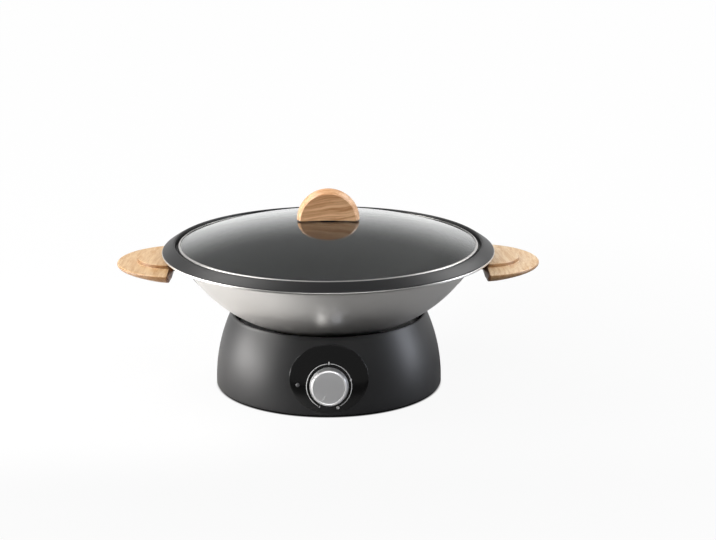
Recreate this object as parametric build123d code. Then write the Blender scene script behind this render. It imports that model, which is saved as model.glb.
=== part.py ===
from build123d import *

import math
import os

# Electric wok: a heated base, a lift-off bowl with two wooden handles and a lift-off glass lid.
# Millimetres, +Z up. Heights are counted from the housing's bottom edge, and every finished
# piece is lifted by FOOT_GAP, so that the feet stand on Z = 0. -Y is the front, with the knob.

# ---------------------------------------------------------------- driving dimensions
RIM_D = 360.0            # outside of the bowl's flange
FOOT_GAP = 2.0           # the feet hold the housing this far off the table

# base housing: a bell turned about Z, whose wall is one arc
BASE_R = 124.0           # at the bottom edge
BASE_ARC = 180.0         # radius of the wall's arc
BASE_ARC_Z = 3.0         # height of the arc's centre
BASE_WALL = 2.8
LIP_Z = 78.6             # where the wall turns over into the well
LIP_TOP = 80.2
WELL_R = 104.0           # the well's mouth, round the bowl
WELL_FOOT_R = 102.0      # the well's wall leans in to this at the ledge
WELL_WALL = 2.4
WELL_ROOF_Z = 72.5       # top of the gap between the well's wall and the outer wall
LEDGE_Z = 60.0           # step in the well that carries the heat shield
LEDGE_R = 94.0
LEDGE_T = 2.5
SHIELD_SCREW_CIRCLE = 97.0
RIB_COUNT = 24           # fins on the well's wall, round the bowl
RIB_LOW, RIB_IN, RIB_T = 64.0, 99.0, 2.0

# bowl: pressed steel outside, non-stick pan inside; both walls are arcs about one centre
WALL_CR = 32.9           # centre of the wall arcs: distance from the axis
WALL_CZ = 205.6          # and height
WALL_R = 141.35          # outer face of the steel
STEEL_T = 1.0
PAN_T = 2.0
CREST_R, CREST_Z = 167.8, 155.2      # top of the flange
RIM_Z = 149.2                        # top of the flange at its outer edge
STEEL_WALL_END, PAN_WALL_END = 159.6, 157.9      # where the walls turn into the flange
LID_SEAT_Z = 151.0
LID_SEAT_R = (158.2, 165.3)
DIFFUSER_R, DIFFUSER_Z = 58.0, 59.2

# heating plate under the bowl
PLATE_R, PLATE_T = 60.0, 9.0
ELEMENT_R, ELEMENT_TUBE = 46.0, 3.3
ELEMENT_GAP, ELEMENT_BEND = 36.0, 6.0    # degrees between the ring's ends, and their bend down
PLATE_LOW = DIFFUSER_Z - PLATE_T
STUD_CIRCLE, STUD_R = 30.0, 2.0
LEG_LOW = 33.0
CAPILLARY_X = 33.0       # where the capillary goes down through the shield
CLAMP_T = 1.0
SENSOR_R, CLIP_SCREW_Y = 3.0, 6.5
SHIELD_Z, SHIELD_T = 41.0, 1.0

# lid
GLASS_R = 161.2
GLASS_T = 3.5
GLASS_SPHERE = 511.5
GLASS_TOP = 181.3
BAND_R, BAND_T = 162.6, 0.5
BAND_FOOT_R, BAND_LIP_R = 158.6, 159.4
LID_KNOB_R, LID_KNOB_FACE_R = 34.0, 30.0
LID_KNOB_T = 22.0

# wooden handles: half-moon plates with a raised land next to the bowl
HANDLE_IN = 170.5
HANDLE_LEAN = 4.0        # the inner end leans in towards the bowl by this at its foot
HANDLE_ARC_X, HANDLE_ARC_R = 160.0, 69.5
HANDLE_Z, HANDLE_T = 127.9, 8.0
LAND_R, LAND_H = 37.0, 4.0
TONGUE_Z, TONGUE_T, TONGUE_W = 132.4, 2.0, 34.0
HANDLE_SCREW_X, HANDLE_SCREW_Y = 185.0, 10.0

# control knob and panel
KNOB_Z = 31.5            # height of the knob's axis where it leaves the wall
PANEL_Z = 39.0           # height of the oval panel's centre
PANEL_A, PANEL_B = 41.5, 36.2
PANEL_PROUD, PANEL_DEEP = 0.4, 1.3
KNOB_R, KNOB_TOP_R, KNOB_FACE_R = 20.3, 18.2, 16.3
KNOB_GAP, KNOB_H = 0.8, 12.0
KNOB_OFF_ANGLE = 207.0   # pointer at rest, clockwise from the top, seen from the front
SHAFT_R, SHAFT_PLAY = 3.0, 0.05
BUSH_R, BUSH_HOLE_R = 5.0, 5.2
BRACKET_SCREWS = (-17.0, 17.0)
DIAL_R, DIAL_LINE = 23.6, 0.7
LAMP_X, LAMP_Z = -32.5, 32.0
LENS_R, LENS_HOLE_R = 2.2, 2.25

# bottom cover and feet
COVER_R, COVER_Z, COVER_T = 120.4, 1.0, 2.5
COVER_TOP = COVER_Z + COVER_T
FOOT_CIRCLE, FOOT_R = 95.0, 9.0
BOSS_CIRCLE, BOSS_TOP = 111.0, 26.0

# rear inlet for a removable lead
INLET_Z = 24.0
INLET_W, INLET_H = 28.0, 21.0
INLET_FACE_Y, INLET_BACK_Y = 123.0, 99.0
SOCKET_W, SOCKET_H, SOCKET_DEPTH = 24.0, 16.5, 18.0
INLET_SCREWS = (-20.0, 20.0)
TERMINALS_X, TERMINALS_Y = (-12.0, 0.0, 12.0), 73.0
FUSE_X, FUSE_Y, FUSE_Z = -34.0, 26.0, SHIELD_Z - 2.5
EARTH_X, EARTH_Y = 42.0, 52.0


# ---------------------------------------------------------------- small helpers
def outline(*steps):
    """Closed outline in the XZ plane. A step is a corner (r, z), or (via, end) for an arc."""
    first = steps[0]
    here = first
    edges = []
    for step in steps[1:] + (first,):
        if isinstance(step[0], tuple):
            via, end = step
            edges.append(ThreePointArc(xz(here), xz(via), xz(end)))
        else:
            end = step
            edges.append(Line(xz(here), xz(end)))
        here = end
    return make_face(Wire(edges))


def xz(point):
    return (point[0], 0, point[1])


def turned(*steps, arc=360):
    """Solid of revolution about Z of an outline."""
    return revolve(outline(*steps), axis=Axis.Z, revolution_arc=arc)


def arc_point(centre, radius, r):
    """Point below the centre on a circle in the XZ plane, at distance r from the Z axis."""
    return (r, centre[1] - math.sqrt(radius**2 - (r - centre[0]) ** 2))


def wall_arc(radius, r_from, r_to):
    """(via, end) of the bowl's wall arc of this radius, from r_from to r_to."""
    centre = (WALL_CR, WALL_CZ)
    return arc_point(centre, radius, (r_from + r_to) / 2), arc_point(centre, radius, r_to)


def wall_point(radius, r):
    return arc_point((WALL_CR, WALL_CZ), radius, r)


def base_point(inset, z):
    """Point on the housing's wall, inset from its outer face, at height z."""
    radius = BASE_ARC - inset
    return (BASE_R - BASE_ARC + math.sqrt(radius**2 - (z - BASE_ARC_Z) ** 2), z)


def post(x, y, z_low, z_high, r, hole=0.0):
    """Upright cylinder, with a bore if hole is given."""
    solid = Pos(x, y, (z_low + z_high) / 2) * Cylinder(r, z_high - z_low)
    if hole:
        solid -= Pos(x, y, (z_low + z_high) / 2) * Cylinder(hole, z_high - z_low + 2)
    return solid


def block(x0, x1, y0, y1, z0, z1):
    return Pos((x0 + x1) / 2, (y0 + y1) / 2, (z0 + z1) / 2) * Box(x1 - x0, y1 - y0, z1 - z0)


def polar(radius, degrees):
    angle = math.radians(degrees)
    return radius * math.cos(angle), radius * math.sin(angle)


def around(radius, angles):
    return [polar(radius, a) for a in angles]


def tube(points, r, bend):
    """Round rod along straight runs joined by arcs of radius bend."""
    route = FilletPolyline(*points, radius=bend)
    start = Plane(origin=route @ 0, z_dir=route % 0)
    return sweep(start * Circle(r), path=route)


def group(solids):
    """Separate solids that share one node."""
    return Compound(children=list(solids))


def surface_plane(z):
    """Plane that touches the housing's front at height z: x to the right, normal outwards."""
    lean = math.asin((z - BASE_ARC_Z) / BASE_ARC)
    origin = (0, -base_point(0, z)[0], z)
    return Plane(origin=origin, x_dir=(1, 0, 0), z_dir=(0, -math.cos(lean), math.sin(lean)))


def lamp_plane():
    """Plane on the housing's face at the indicator lamp, normal outwards."""
    r = base_point(0, LAMP_Z)[0]
    y = -math.sqrt(r**2 - LAMP_X**2)
    return Plane(origin=(LAMP_X, y, LAMP_Z), x_dir=(-y, LAMP_X, 0), z_dir=(LAMP_X, y, 0))


KNOB_PLANE = surface_plane(KNOB_Z)
PANEL_PLANE = surface_plane(PANEL_Z)
LAMP_PLANE = lamp_plane()
FOOT_ANGLES = (45, 135, 225, 315)
BOSS_ANGLES = (25, 155, 205, 335)
SHIELD_SCREW_ANGLES = (30, 150, 270)
STUD_ANGLES = (30, 150, 270)


def base_envelope(proud=0.0):
    """Solid bell whose face stands proud of the housing's outer face."""
    low, middle, high = (base_point(-proud, z) for z in (0, LIP_Z / 2, LIP_Z))
    return turned((0, 0), low, (middle, high), (0, LIP_Z))


# ---------------------------------------------------------------- base housing and panel
def panel_prism(grow=0.0):
    """Oval bar through the front wall, square to the panel's centre."""
    oval = PANEL_PLANE * Ellipse(PANEL_A + grow, PANEL_B + grow)
    return extrude(oval, amount=12, both=True)


def well_back(z):
    """Point on the hidden side of the well's wall, at height z."""
    slope = (WELL_R - WELL_FOOT_R) / (LIP_Z - LEDGE_Z)
    return (WELL_FOOT_R + WELL_WALL + slope * (z - LEDGE_Z), z)


def make_housing():
    shell = turned(
        base_point(0, 0),
        (base_point(0, LIP_Z / 2), base_point(0, LIP_Z)),
        ((105.7, LIP_TOP), (WELL_R, LIP_Z)),
        (WELL_FOOT_R, LEDGE_Z),
        (LEDGE_R, LEDGE_Z),
        (LEDGE_R, LEDGE_Z - LEDGE_T),
        well_back(LEDGE_Z - LEDGE_T),
        well_back(WELL_ROOF_Z),
        base_point(BASE_WALL, WELL_ROOF_Z),
        (base_point(BASE_WALL, LIP_Z / 2), base_point(BASE_WALL, 0)),
    )
    rib = block(RIB_IN, WELL_R + 0.2, -RIB_T / 2, RIB_T / 2, RIB_LOW, LIP_Z - 2.2)
    ribs = [Rot(0, 0, i * 360 / RIB_COUNT) * rib for i in range(RIB_COUNT)]
    bosses = [post(x, y, COVER_TOP, BOSS_TOP, 4.5) for x, y in around(BOSS_CIRCLE, BOSS_ANGLES)]
    web = block(BOSS_CIRCLE + 3, BASE_R, -1.5, 1.5, COVER_TOP, BOSS_TOP)
    webs = [Rot(0, 0, a) * web for a in BOSS_ANGLES]
    inside = base_envelope(-BASE_WALL / 2)
    screw_sleeves = [
        post(x, y, LEDGE_Z - 12, LEDGE_Z - LEDGE_T + 0.5, 4.0)
        for x, y in around(SHIELD_SCREW_CIRCLE, SHIELD_SCREW_ANGLES)
    ]
    stand_offs = [KNOB_PLANE * Pos(x, 0, -5.5) * Cylinder(4.0, 7.0) for x in BRACKET_SCREWS]
    inlet_bosses = [
        Pos(x, 116.5, INLET_Z) * Rot(90, 0, 0) * Cylinder(3.5, 7.0) for x in INLET_SCREWS
    ]
    added = [s & inside for s in bosses + webs + stand_offs + inlet_bosses]
    housing = shell + ribs + screw_sleeves + added
    housing -= panel_prism(0.05) & (base_envelope(1) - base_envelope(-PANEL_DEEP))
    housing -= KNOB_PLANE * Pos(0, 0, -2) * Cylinder(BUSH_HOLE_R, 12)
    housing -= LAMP_PLANE * Cylinder(LENS_HOLE_R, 20)
    housing -= block(
        -INLET_W / 2 - 0.05, INLET_W / 2 + 0.05, 90, 130,
        INLET_Z - INLET_H / 2 - 0.05, INLET_Z + INLET_H / 2 + 0.05,
    )
    for x, y in around(BOSS_CIRCLE, BOSS_ANGLES):
        housing -= post(x, y, 0, 18, 1.5)
    for x, y in around(SHIELD_SCREW_CIRCLE, SHIELD_SCREW_ANGLES):
        housing -= post(x, y, LEDGE_Z - 9, LEDGE_Z + 1, 1.5)
    for x in BRACKET_SCREWS:
        housing -= KNOB_PLANE * Pos(x, 0, -6.5) * Cylinder(1.25, 5.2)
    for x in INLET_SCREWS:
        housing -= Pos(x, 115.5, INLET_Z) * Rot(90, 0, 0) * Cylinder(1.25, 6.0)
    return housing


def make_panel():
    panel = panel_prism() & (base_envelope(PANEL_PROUD) - base_envelope(-PANEL_DEEP))
    panel -= KNOB_PLANE * Cylinder(BUSH_HOLE_R, 12)
    panel -= LAMP_PLANE * Cylinder(LENS_HOLE_R, 12)
    return panel


def make_dial_markings():
    """Printed scale: an arc from off to full, a tick at the top and three end marks."""
    skin = base_envelope(PANEL_PROUD + 0.12) - base_envelope(PANEL_PROUD)
    stretches = [(209, 356), (4, 71), (77, 152)]
    marks = []
    for start, end in stretches:
        ring = Circle(DIAL_R + DIAL_LINE / 2) - Circle(DIAL_R - DIAL_LINE / 2)
        corners = [(0, 0)] + [clock(60, start + (end - start) * i / 6) for i in range(7)]
        marks.append(ring & make_face(Polyline(*corners, close=True)))
    marks.append(Pos(*clock(DIAL_R + 0.6, 0)) * Rectangle(1.5, 3.4))
    marks.append(Pos(*clock(DIAL_R, 74)) * Ellipse(0.9, 1.5))
    marks.append(Pos(*clock(DIAL_R + 0.6, 158)) * Circle(1.7))
    marks.append(Pos(*clock(DIAL_R, 205)) * Rot(0, 0, 62) * Rectangle(2.4, 1.0))
    solids = []
    for mark in marks:
        bar = extrude(KNOB_PLANE * mark, amount=8, both=True)
        solids += (bar & skin).solids()
    return group(solids)


def clock(radius, degrees):
    """Point on the knob's plane at an angle clockwise from the top."""
    return radius * math.sin(math.radians(degrees)), radius * math.cos(math.radians(degrees))


def make_indicator_lens():
    lens = Pos(0, 0, -1.6) * Cylinder(LENS_R, 5.0) + Pos(0, 0, 0.9) * Sphere(LENS_R)
    lens -= Pos(0, 0, -12.1) * Box(10, 10, 16)
    return LAMP_PLANE * lens


def make_indicator_lamp():
    bulb = Pos(0, 0, -10.2) * Cylinder(2.4, 12.0)
    return LAMP_PLANE * bulb


# ---------------------------------------------------------------- bottom cover and feet
def make_bottom_cover():
    z = COVER_Z + COVER_T / 2
    cover = Pos(0, 0, z) * Cylinder(COVER_R, COVER_T)
    for radius, count, width in ((55, 10, 16), (75, 14, 16)):
        for i in range(count):
            slot = Pos(radius, 0, z) * Box(width, 4.0, COVER_T + 2)
            cover -= Rot(0, 0, (i + 0.5) * 360 / count) * slot
    for x, y in around(FOOT_CIRCLE, FOOT_ANGLES):
        cover -= post(x, y, 0, 6, 3.0)
    for x, y in around(BOSS_CIRCLE, BOSS_ANGLES):
        cover -= post(x, y, 0, 6, 1.7)
        cover -= post(x, y, 0, COVER_Z + 1.2, 3.6)
    return cover


def make_rubber_feet():
    feet = []
    for x, y in around(FOOT_CIRCLE, FOOT_ANGLES):
        pad = turned(
            (0, -FOOT_GAP), (FOOT_R - 1, -FOOT_GAP), (FOOT_R, 0), (FOOT_R, COVER_Z), (0, COVER_Z)
        )
        stem = post(0, 0, COVER_Z, COVER_TOP, 2.9)
        barb = post(0, 0, COVER_TOP, COVER_TOP + 1.5, 4.0)
        feet.append(Pos(x, y, 0) * (pad + stem + barb))
    return group(feet)


def make_cover_screws():
    low = COVER_Z + 0.2
    screws = []
    for x, y in around(BOSS_CIRCLE, BOSS_ANGLES):
        head = post(x, y, low, COVER_Z + 1.2, 3.4) - post(x, y, 0, low + 0.6, 1.2)
        screws.append(head + post(x, y, COVER_Z + 1.1, 15, 1.45))
    return group(screws)


# ---------------------------------------------------------------- heater
def make_heat_shield():
    top = SHIELD_Z + SHIELD_T
    shield = turned(
        (0, SHIELD_Z), (73, SHIELD_Z), (91.5, LEDGE_Z), (WELL_R - 2.8, LEDGE_Z),
        (WELL_R - 2.8, LEDGE_Z + SHIELD_T), (91.0, LEDGE_Z + SHIELD_T), (72.5, top), (0, top),
    )
    for x, y in around(STUD_CIRCLE, STUD_ANGLES):
        shield -= post(x, y, SHIELD_Z - 1, top + 1, STUD_R + 0.1)
    for x, y in around(SHIELD_SCREW_CIRCLE, SHIELD_SCREW_ANGLES):
        shield -= post(x, y, LEDGE_Z - 1, LEDGE_Z + 3, 1.8)
    for x, y in element_ends():
        shield -= post(x, y, SHIELD_Z - 1, top + 1, 5.6)
    shield -= post(CAPILLARY_X, 0, SHIELD_Z - 1, top + 1, 2.5)
    return shield


def make_shield_screws():
    screws = []
    for x, y in around(SHIELD_SCREW_CIRCLE, SHIELD_SCREW_ANGLES):
        head = post(x, y, LEDGE_Z + SHIELD_T, LEDGE_Z + SHIELD_T + 1.8, 3.2)
        screws.append(head + post(x, y, LEDGE_Z - 8, LEDGE_Z + SHIELD_T, 1.45))
    return group(screws)


def make_heating_plate():
    low = PLATE_LOW
    plate = turned(
        (0, low), (PLATE_R - 1, low), (PLATE_R, low + 1), (PLATE_R, DIFFUSER_Z - 1.5),
        (PLATE_R - 1.5, DIFFUSER_Z), (0, DIFFUSER_Z),
    )
    plate -= Pos(0, 0, low) * Torus(ELEMENT_R, ELEMENT_TUBE)
    clamp_top = low - ELEMENT_TUBE
    for x, y in around(STUD_CIRCLE, STUD_ANGLES):
        plate += post(x, y, clamp_top, low + 1, 5.0)
        plate -= post(x, y, clamp_top - 1, low + 5, STUD_R)
    for y in (-CLIP_SCREW_Y, CLIP_SCREW_Y):
        plate -= post(0, y, low - 1, low + 5, 1.2)
    return plate


def element_ring():
    """The heater's ring, open on the +Y side, in the plane of the plate's underside."""
    bend_angle = math.degrees(ELEMENT_BEND / ELEMENT_R)
    start = 90 + ELEMENT_GAP / 2 + bend_angle
    end = 450 - ELEMENT_GAP / 2 - bend_angle
    angles = (start, (start + end) / 2, end)
    return ThreePointArc(*[(*polar(ELEMENT_R, a), PLATE_LOW) for a in angles])


def element_tails():
    """Where each end of the ring starts to bend, and the way that it runs on."""
    ring = element_ring()
    return (ring @ 1, ring % 1), (ring @ 0, (ring % 0) * -1)


def element_ends():
    """(x, y) of the heater's two legs, below its bends."""
    corners = [end + way * ELEMENT_BEND for end, way in element_tails()]
    return [(c.X, c.Y) for c in corners]


def make_heating_element():
    """Sheathed heater: most of a ring, with both ends turned down."""
    ring = element_ring()
    circle = Circle(ELEMENT_TUBE)
    solid = sweep(Plane(origin=ring @ 0, z_dir=ring % 0) * circle, path=ring)
    for end, way in element_tails():
        middle = end + way * ELEMENT_BEND * math.sqrt(0.5)
        middle += Vector(0, 0, ELEMENT_BEND * (math.sqrt(0.5) - 1))
        leg = end + way * ELEMENT_BEND - Vector(0, 0, ELEMENT_BEND)
        elbow = ThreePointArc(end, middle, leg)
        solid += sweep(Plane(origin=end, z_dir=way) * circle, path=elbow)
        solid += post(leg.X, leg.Y, LEG_LOW, leg.Z, ELEMENT_TUBE)
    return solid


def make_element_clamp():
    top = PLATE_LOW - ELEMENT_TUBE
    clamp = post(0, 0, top - CLAMP_T, top, 54, hole=24)
    for x, y in around(STUD_CIRCLE, STUD_ANGLES):
        clamp -= post(x, y, top - 3, top + 2, STUD_R + 0.1)
    for x, y in element_ends():
        clamp -= post(x, y, top - 3, top + 2, 6.0)
    clamp -= block(0, CAPILLARY_X + 3, -2.5, 2.5, top - 3, top + 2)
    return clamp


def make_ceramic_spacers():
    top = PLATE_LOW - ELEMENT_TUBE - CLAMP_T
    low = SHIELD_Z + SHIELD_T
    return group(
        post(x, y, low, top, 5.5, hole=STUD_R + 0.1) for x, y in around(STUD_CIRCLE, STUD_ANGLES)
    )


def make_plate_studs():
    return group(
        post(x, y, SHIELD_Z - 6.5, PLATE_LOW + 5, STUD_R)
        for x, y in around(STUD_CIRCLE, STUD_ANGLES)
    )


def make_plate_nuts():
    nuts = []
    for x, y in around(STUD_CIRCLE, STUD_ANGLES):
        nut = Pos(x, y, SHIELD_Z - 3.2) * extrude(RegularPolygon(4.0, 6), amount=3.2)
        nuts.append(nut - post(x, y, 30, 45, STUD_R))
    return group(nuts)


def make_element_insulators():
    return group(
        post(x, y, 36.5, SHIELD_Z, 6.5, hole=ELEMENT_TUBE)
        + post(x, y, SHIELD_Z, SHIELD_Z + 3.5, 5.5, hole=ELEMENT_TUBE)
        for x, y in element_ends()
    )


def make_element_terminals():
    return group(
        block(x - 3.15, x + 3.15, y - 0.4, y + 0.4, LEG_LOW - 9, LEG_LOW) for x, y in element_ends()
    )


def make_sensor_bulb():
    return Pos(0, 0, PLATE_LOW - SENSOR_R) * Rot(0, 90, 0) * Cylinder(SENSOR_R, 40)


def make_sensor_clip():
    low = PLATE_LOW
    strap = Rot(0, 90, 0) * Cylinder(SENSOR_R + 0.8, 12) - Rot(0, 90, 0) * Cylinder(SENSOR_R, 14)
    strap = Pos(0, 0, low - SENSOR_R) * (strap - block(-8, 8, -5, 5, 2.2, 6))
    ears = block(-6, 6, -9.5, -3.05, low - 0.8, low) + block(-6, 6, 3.05, 9.5, low - 0.8, low)
    clip = strap + ears
    for y in (-CLIP_SCREW_Y, CLIP_SCREW_Y):
        clip -= post(0, y, low - 3, low + 1, 1.3)
    return clip


def make_clip_screws():
    low = PLATE_LOW
    return group(
        post(0, y, low - 2.4, low - 0.8, 2.2) + post(0, y, low - 0.8, low + 4, 1.2)
        for y in (-CLIP_SCREW_Y, CLIP_SCREW_Y)
    )


# ---------------------------------------------------------------- thermostat
def make_thermostat_bracket():
    plate = Pos(0, 0, -9.75) * Box(46, 24, 1.5)
    for x in BRACKET_SCREWS:
        plate -= Pos(x, 0, -9.75) * Cylinder(1.6, 4)
    plate -= Pos(0, 0, -9.75) * Cylinder(BUSH_R, 4)
    return KNOB_PLANE * plate


def make_thermostat_screws():
    screws = []
    for x in BRACKET_SCREWS:
        head = Pos(x, 0, -11.3) * Cylinder(2.8, 1.6)
        screws.append(KNOB_PLANE * (head + Pos(x, 0, -7.75) * Cylinder(1.2, 5.5)))
    return group(screws)


def make_thermostat_bushing():
    bush = Cylinder(BUSH_R, 10.0) - Cylinder(SHAFT_R + SHAFT_PLAY, 12)
    return KNOB_PLANE * Pos(0, 0, -9.5) * bush


def make_thermostat_body():
    body = Pos(0, 0, -19.5) * Box(26, 24, 18)
    body = fillet(body.edges().filter_by(Axis.Z), 3)
    body -= Pos(0, 0, -12) * Cylinder(BUSH_R, 6)
    body -= Pos(0, 0, -19) * Cylinder(SHAFT_R + 0.3, 12)
    return KNOB_PLANE * body


def make_thermostat_terminals():
    tabs = []
    for x in (-8.0, 8.0):
        tabs.append(KNOB_PLANE * Pos(x, -14.5, -22) * Box(0.8, 5, 6.3))
    return group(tabs)


def make_capillary_tube():
    z = PLATE_LOW - SENSOR_R
    end = KNOB_PLANE.from_local_coords((6, 0, -28.5))
    near = KNOB_PLANE.from_local_coords((6, 0, -40))
    points = [(20, 0, z), (CAPILLARY_X, 0, z), (CAPILLARY_X, 0, 30), (20, -50, near.Z), near, end]
    return tube([Vector(*p) if isinstance(p, tuple) else p for p in points], 1.0, 4.0)


# ---------------------------------------------------------------- control knob
def make_shaft():
    shaft = Pos(0, 0, -7.5) * Cylinder(SHAFT_R, 29.0)
    shaft -= Pos(0, 3.5, 2.5) * Box(10, 3, 9.1)
    return KNOB_PLANE * shaft


def make_knob_body():
    low, high = KNOB_GAP, KNOB_H - 1.2
    knob = turned((0, low), (KNOB_R, low), (KNOB_R, low + 1.2), (KNOB_TOP_R + 0.2, high), (0, high))
    knob -= turned((5.6, low - 1), (16.5, low - 1), (15.5, high - 2.6), (5.6, high - 2.6))
    socket = Pos(0, 0, low + 3.1) * Cylinder(SHAFT_R, 6.4)
    socket -= Pos(0, 3.5, 2.5) * Box(10, 3, 9.1)
    return KNOB_PLANE * (knob - socket)


def make_knob_trim_ring():
    low = KNOB_H - 1.2
    ring = turned(
        (KNOB_FACE_R, low), (KNOB_TOP_R + 0.2, low), (KNOB_TOP_R, KNOB_H - 0.6),
        (KNOB_FACE_R + 0.5, KNOB_H), (KNOB_FACE_R, KNOB_H - 0.2),
    )
    return KNOB_PLANE * ring


def make_knob_face():
    face = Pos(0, 0, KNOB_H - 0.85) * Cylinder(KNOB_FACE_R, 0.7)
    return KNOB_PLANE * (face - knob_pointer_bar())


def knob_pointer_bar():
    bar = Pos(0, 11.0, KNOB_H - 0.8) * Box(1.4, 7.0, 0.6)
    return Rot(0, 0, -KNOB_OFF_ANGLE) * bar


def make_knob_pointer():
    ridge = Rot(0, 0, -KNOB_OFF_ANGLE) * Pos(0, 11, KNOB_H - 0.4) * Box(1.4, 7, 0.3)
    return KNOB_PLANE * (knob_pointer_bar() + ridge)


# ---------------------------------------------------------------- mains side
def make_inlet_socket():
    body = block(
        -INLET_W / 2, INLET_W / 2, INLET_BACK_Y, INLET_FACE_Y,
        INLET_Z - INLET_H / 2, INLET_Z + INLET_H / 2,
    )
    mouth = Plane(origin=(0, INLET_FACE_Y, INLET_Z), x_dir=(1, 0, 0), z_dir=(0, 1, 0))
    opening = Rectangle(SOCKET_W, SOCKET_H)
    upper = opening.vertices().sort_by(Axis.Y)[:2]
    opening = chamfer(upper, 4.0)
    body -= extrude(mouth * opening, amount=-SOCKET_DEPTH)
    ears = block(-24, -INLET_W / 2 + 0.5, 110, 113, INLET_Z - 6, INLET_Z + 6)
    ears += block(INLET_W / 2 - 0.5, 24, 110, 113, INLET_Z - 6, INLET_Z + 6)
    body += ears
    for x in INLET_SCREWS:
        body -= Pos(x, 111, INLET_Z) * Rot(90, 0, 0) * Cylinder(1.4, 8)
    for x, z in inlet_pin_places():
        body -= block(x - 1, x + 1, 95, INLET_FACE_Y, z - 2, z + 2)
    return body


def inlet_pin_places():
    return ((-7.0, INLET_Z - 2.0), (0.0, INLET_Z + 2.0), (7.0, INLET_Z - 2.0))


def make_inlet_pins():
    return group(
        block(x - 1, x + 1, INLET_BACK_Y - 7, INLET_FACE_Y - 3, z - 2, z + 2)
        for x, z in inlet_pin_places()
    )


def make_inlet_screws():
    screws = []
    for x in INLET_SCREWS:
        head = Pos(x, 109.2, INLET_Z) * Rot(90, 0, 0) * Cylinder(2.6, 1.6)
        screws.append(head + Pos(x, 113.5, INLET_Z) * Rot(90, 0, 0) * Cylinder(1.2, 7.2))
    return group(screws)


def make_terminal_block():
    top, y = COVER_TOP, TERMINALS_Y
    body = block(-20, 20, y - 7, y + 7, top, top + 12)
    for x in TERMINALS_X:
        body -= post(x, y, top + 5, top + 20, 2.5)
        body -= Pos(x, y, top + 5) * Rot(90, 0, 0) * Cylinder(1.6, 20)
    return body


def make_terminal_screws():
    low, high = COVER_TOP + 6.6, COVER_TOP + 10
    return group(post(x, TERMINALS_Y, low, high, 2.4) for x in TERMINALS_X)


def make_thermal_fuse():
    return Pos(FUSE_X, FUSE_Y, FUSE_Z) * Rot(0, 90, 0) * Cylinder(2.5, 12)


def make_earth_tag():
    x, y, top = EARTH_X, EARTH_Y, SHIELD_Z
    ring = post(x, y, top - 0.8, top, 4.5, hole=1.6)
    return ring + block(x - 2.4, x + 2.4, y + 4, y + 14, top - 0.8, top)


def make_earth_screw():
    seat = SHIELD_Z - 0.8
    head = post(EARTH_X, EARTH_Y, seat - 1.8, seat, 3.0)
    return head + post(EARTH_X, EARTH_Y, seat, SHIELD_Z, 1.5)


def make_internal_leads():
    """Insulated leads from inlet to terminal block, thermostat, fuse, heater and earth."""
    entry = COVER_TOP + 5
    earth = SHIELD_Z - 2
    (leg_x, leg_y), (other_x, _) = element_ends()
    routes = [
        # inlet to terminal block, and to earth
        [(-7, 92, 22), (-7, 87, 22), (-12, 84, entry), (-12, 79, entry)],
        [(7, 92, 22), (7, 87, 22), (12, 84, entry), (12, 79, entry)],
        [(0, 92, 26), (0, 87, 26), (20, 76, 36), (EARTH_X, 68, earth), (EARTH_X, 64, earth)],
        # terminal block to the heater's one end
        [(12, 67, entry), (12, 60, entry), (leg_x, leg_y + 6, 14), (leg_x, leg_y, 19),
         (leg_x, leg_y, 24)],
        # terminal block to thermostat, thermostat to fuse, fuse to the heater's other end
        [(-12, 67, entry), (-12, 58, entry), (-44, 10, 14), (-44, -50, 14), (-8, -78, 10),
         (-8, -88, 10)],
        [(8, -88, 10), (8, -76, 12), (-30, -30, 30), (FUSE_X - 18, FUSE_Y, FUSE_Z),
         (FUSE_X - 6, FUSE_Y, FUSE_Z)],
        [(FUSE_X + 6, FUSE_Y, FUSE_Z), (FUSE_X + 11, FUSE_Y, FUSE_Z), (-18, 28, 34),
         (other_x, leg_y - 8, 20), (other_x, leg_y, 20), (other_x, leg_y, 24)],
    ]
    return group(tube([Vector(*p) for p in route], 1.0, 1.6) for route in routes)


# ---------------------------------------------------------------- bowl
def flange_z(r, below=0.0):
    """Height of the flange's sloping top at distance r from the axis."""
    slope = (CREST_Z - RIM_Z) / (RIM_D / 2 - CREST_R)
    return CREST_Z - slope * (r - CREST_R) - below


def steel_top_face():
    """The steel's upper face from the wall to the rim; the pan lies on it."""
    crest, edge = 169.2, RIM_D / 2 - 0.6
    out = [(r, flange_z(r, 2.2)) for r in (crest, edge)]
    return [(161.2, 147.4), (167.0, 148.9), *out]


def make_bowl_shell():
    outer, inner = WALL_R, WALL_R - STEEL_T
    knee, ledge, crest, edge = steel_top_face()
    return turned(
        (0, WALL_CZ - outer),
        (WALL_CR, WALL_CZ - outer),
        wall_arc(outer, WALL_CR, STEEL_WALL_END),
        (161.8, 146.5),
        (167.7, 147.9),
        (169.7, flange_z(169.7, 3.3)),
        (179.4, flange_z(179.4, 3.3)),
        ((180.0, 146.6), (180.2, 147.2)),
        (180.2, 148.5),
        ((180.0, 148.9), (179.6, 148.9)),
        edge, crest, ledge, knee,
        wall_point(inner, 159.0),
        (wall_point(inner, 96), wall_point(inner, WALL_CR)),
        (0, WALL_CZ - inner),
    )


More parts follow.
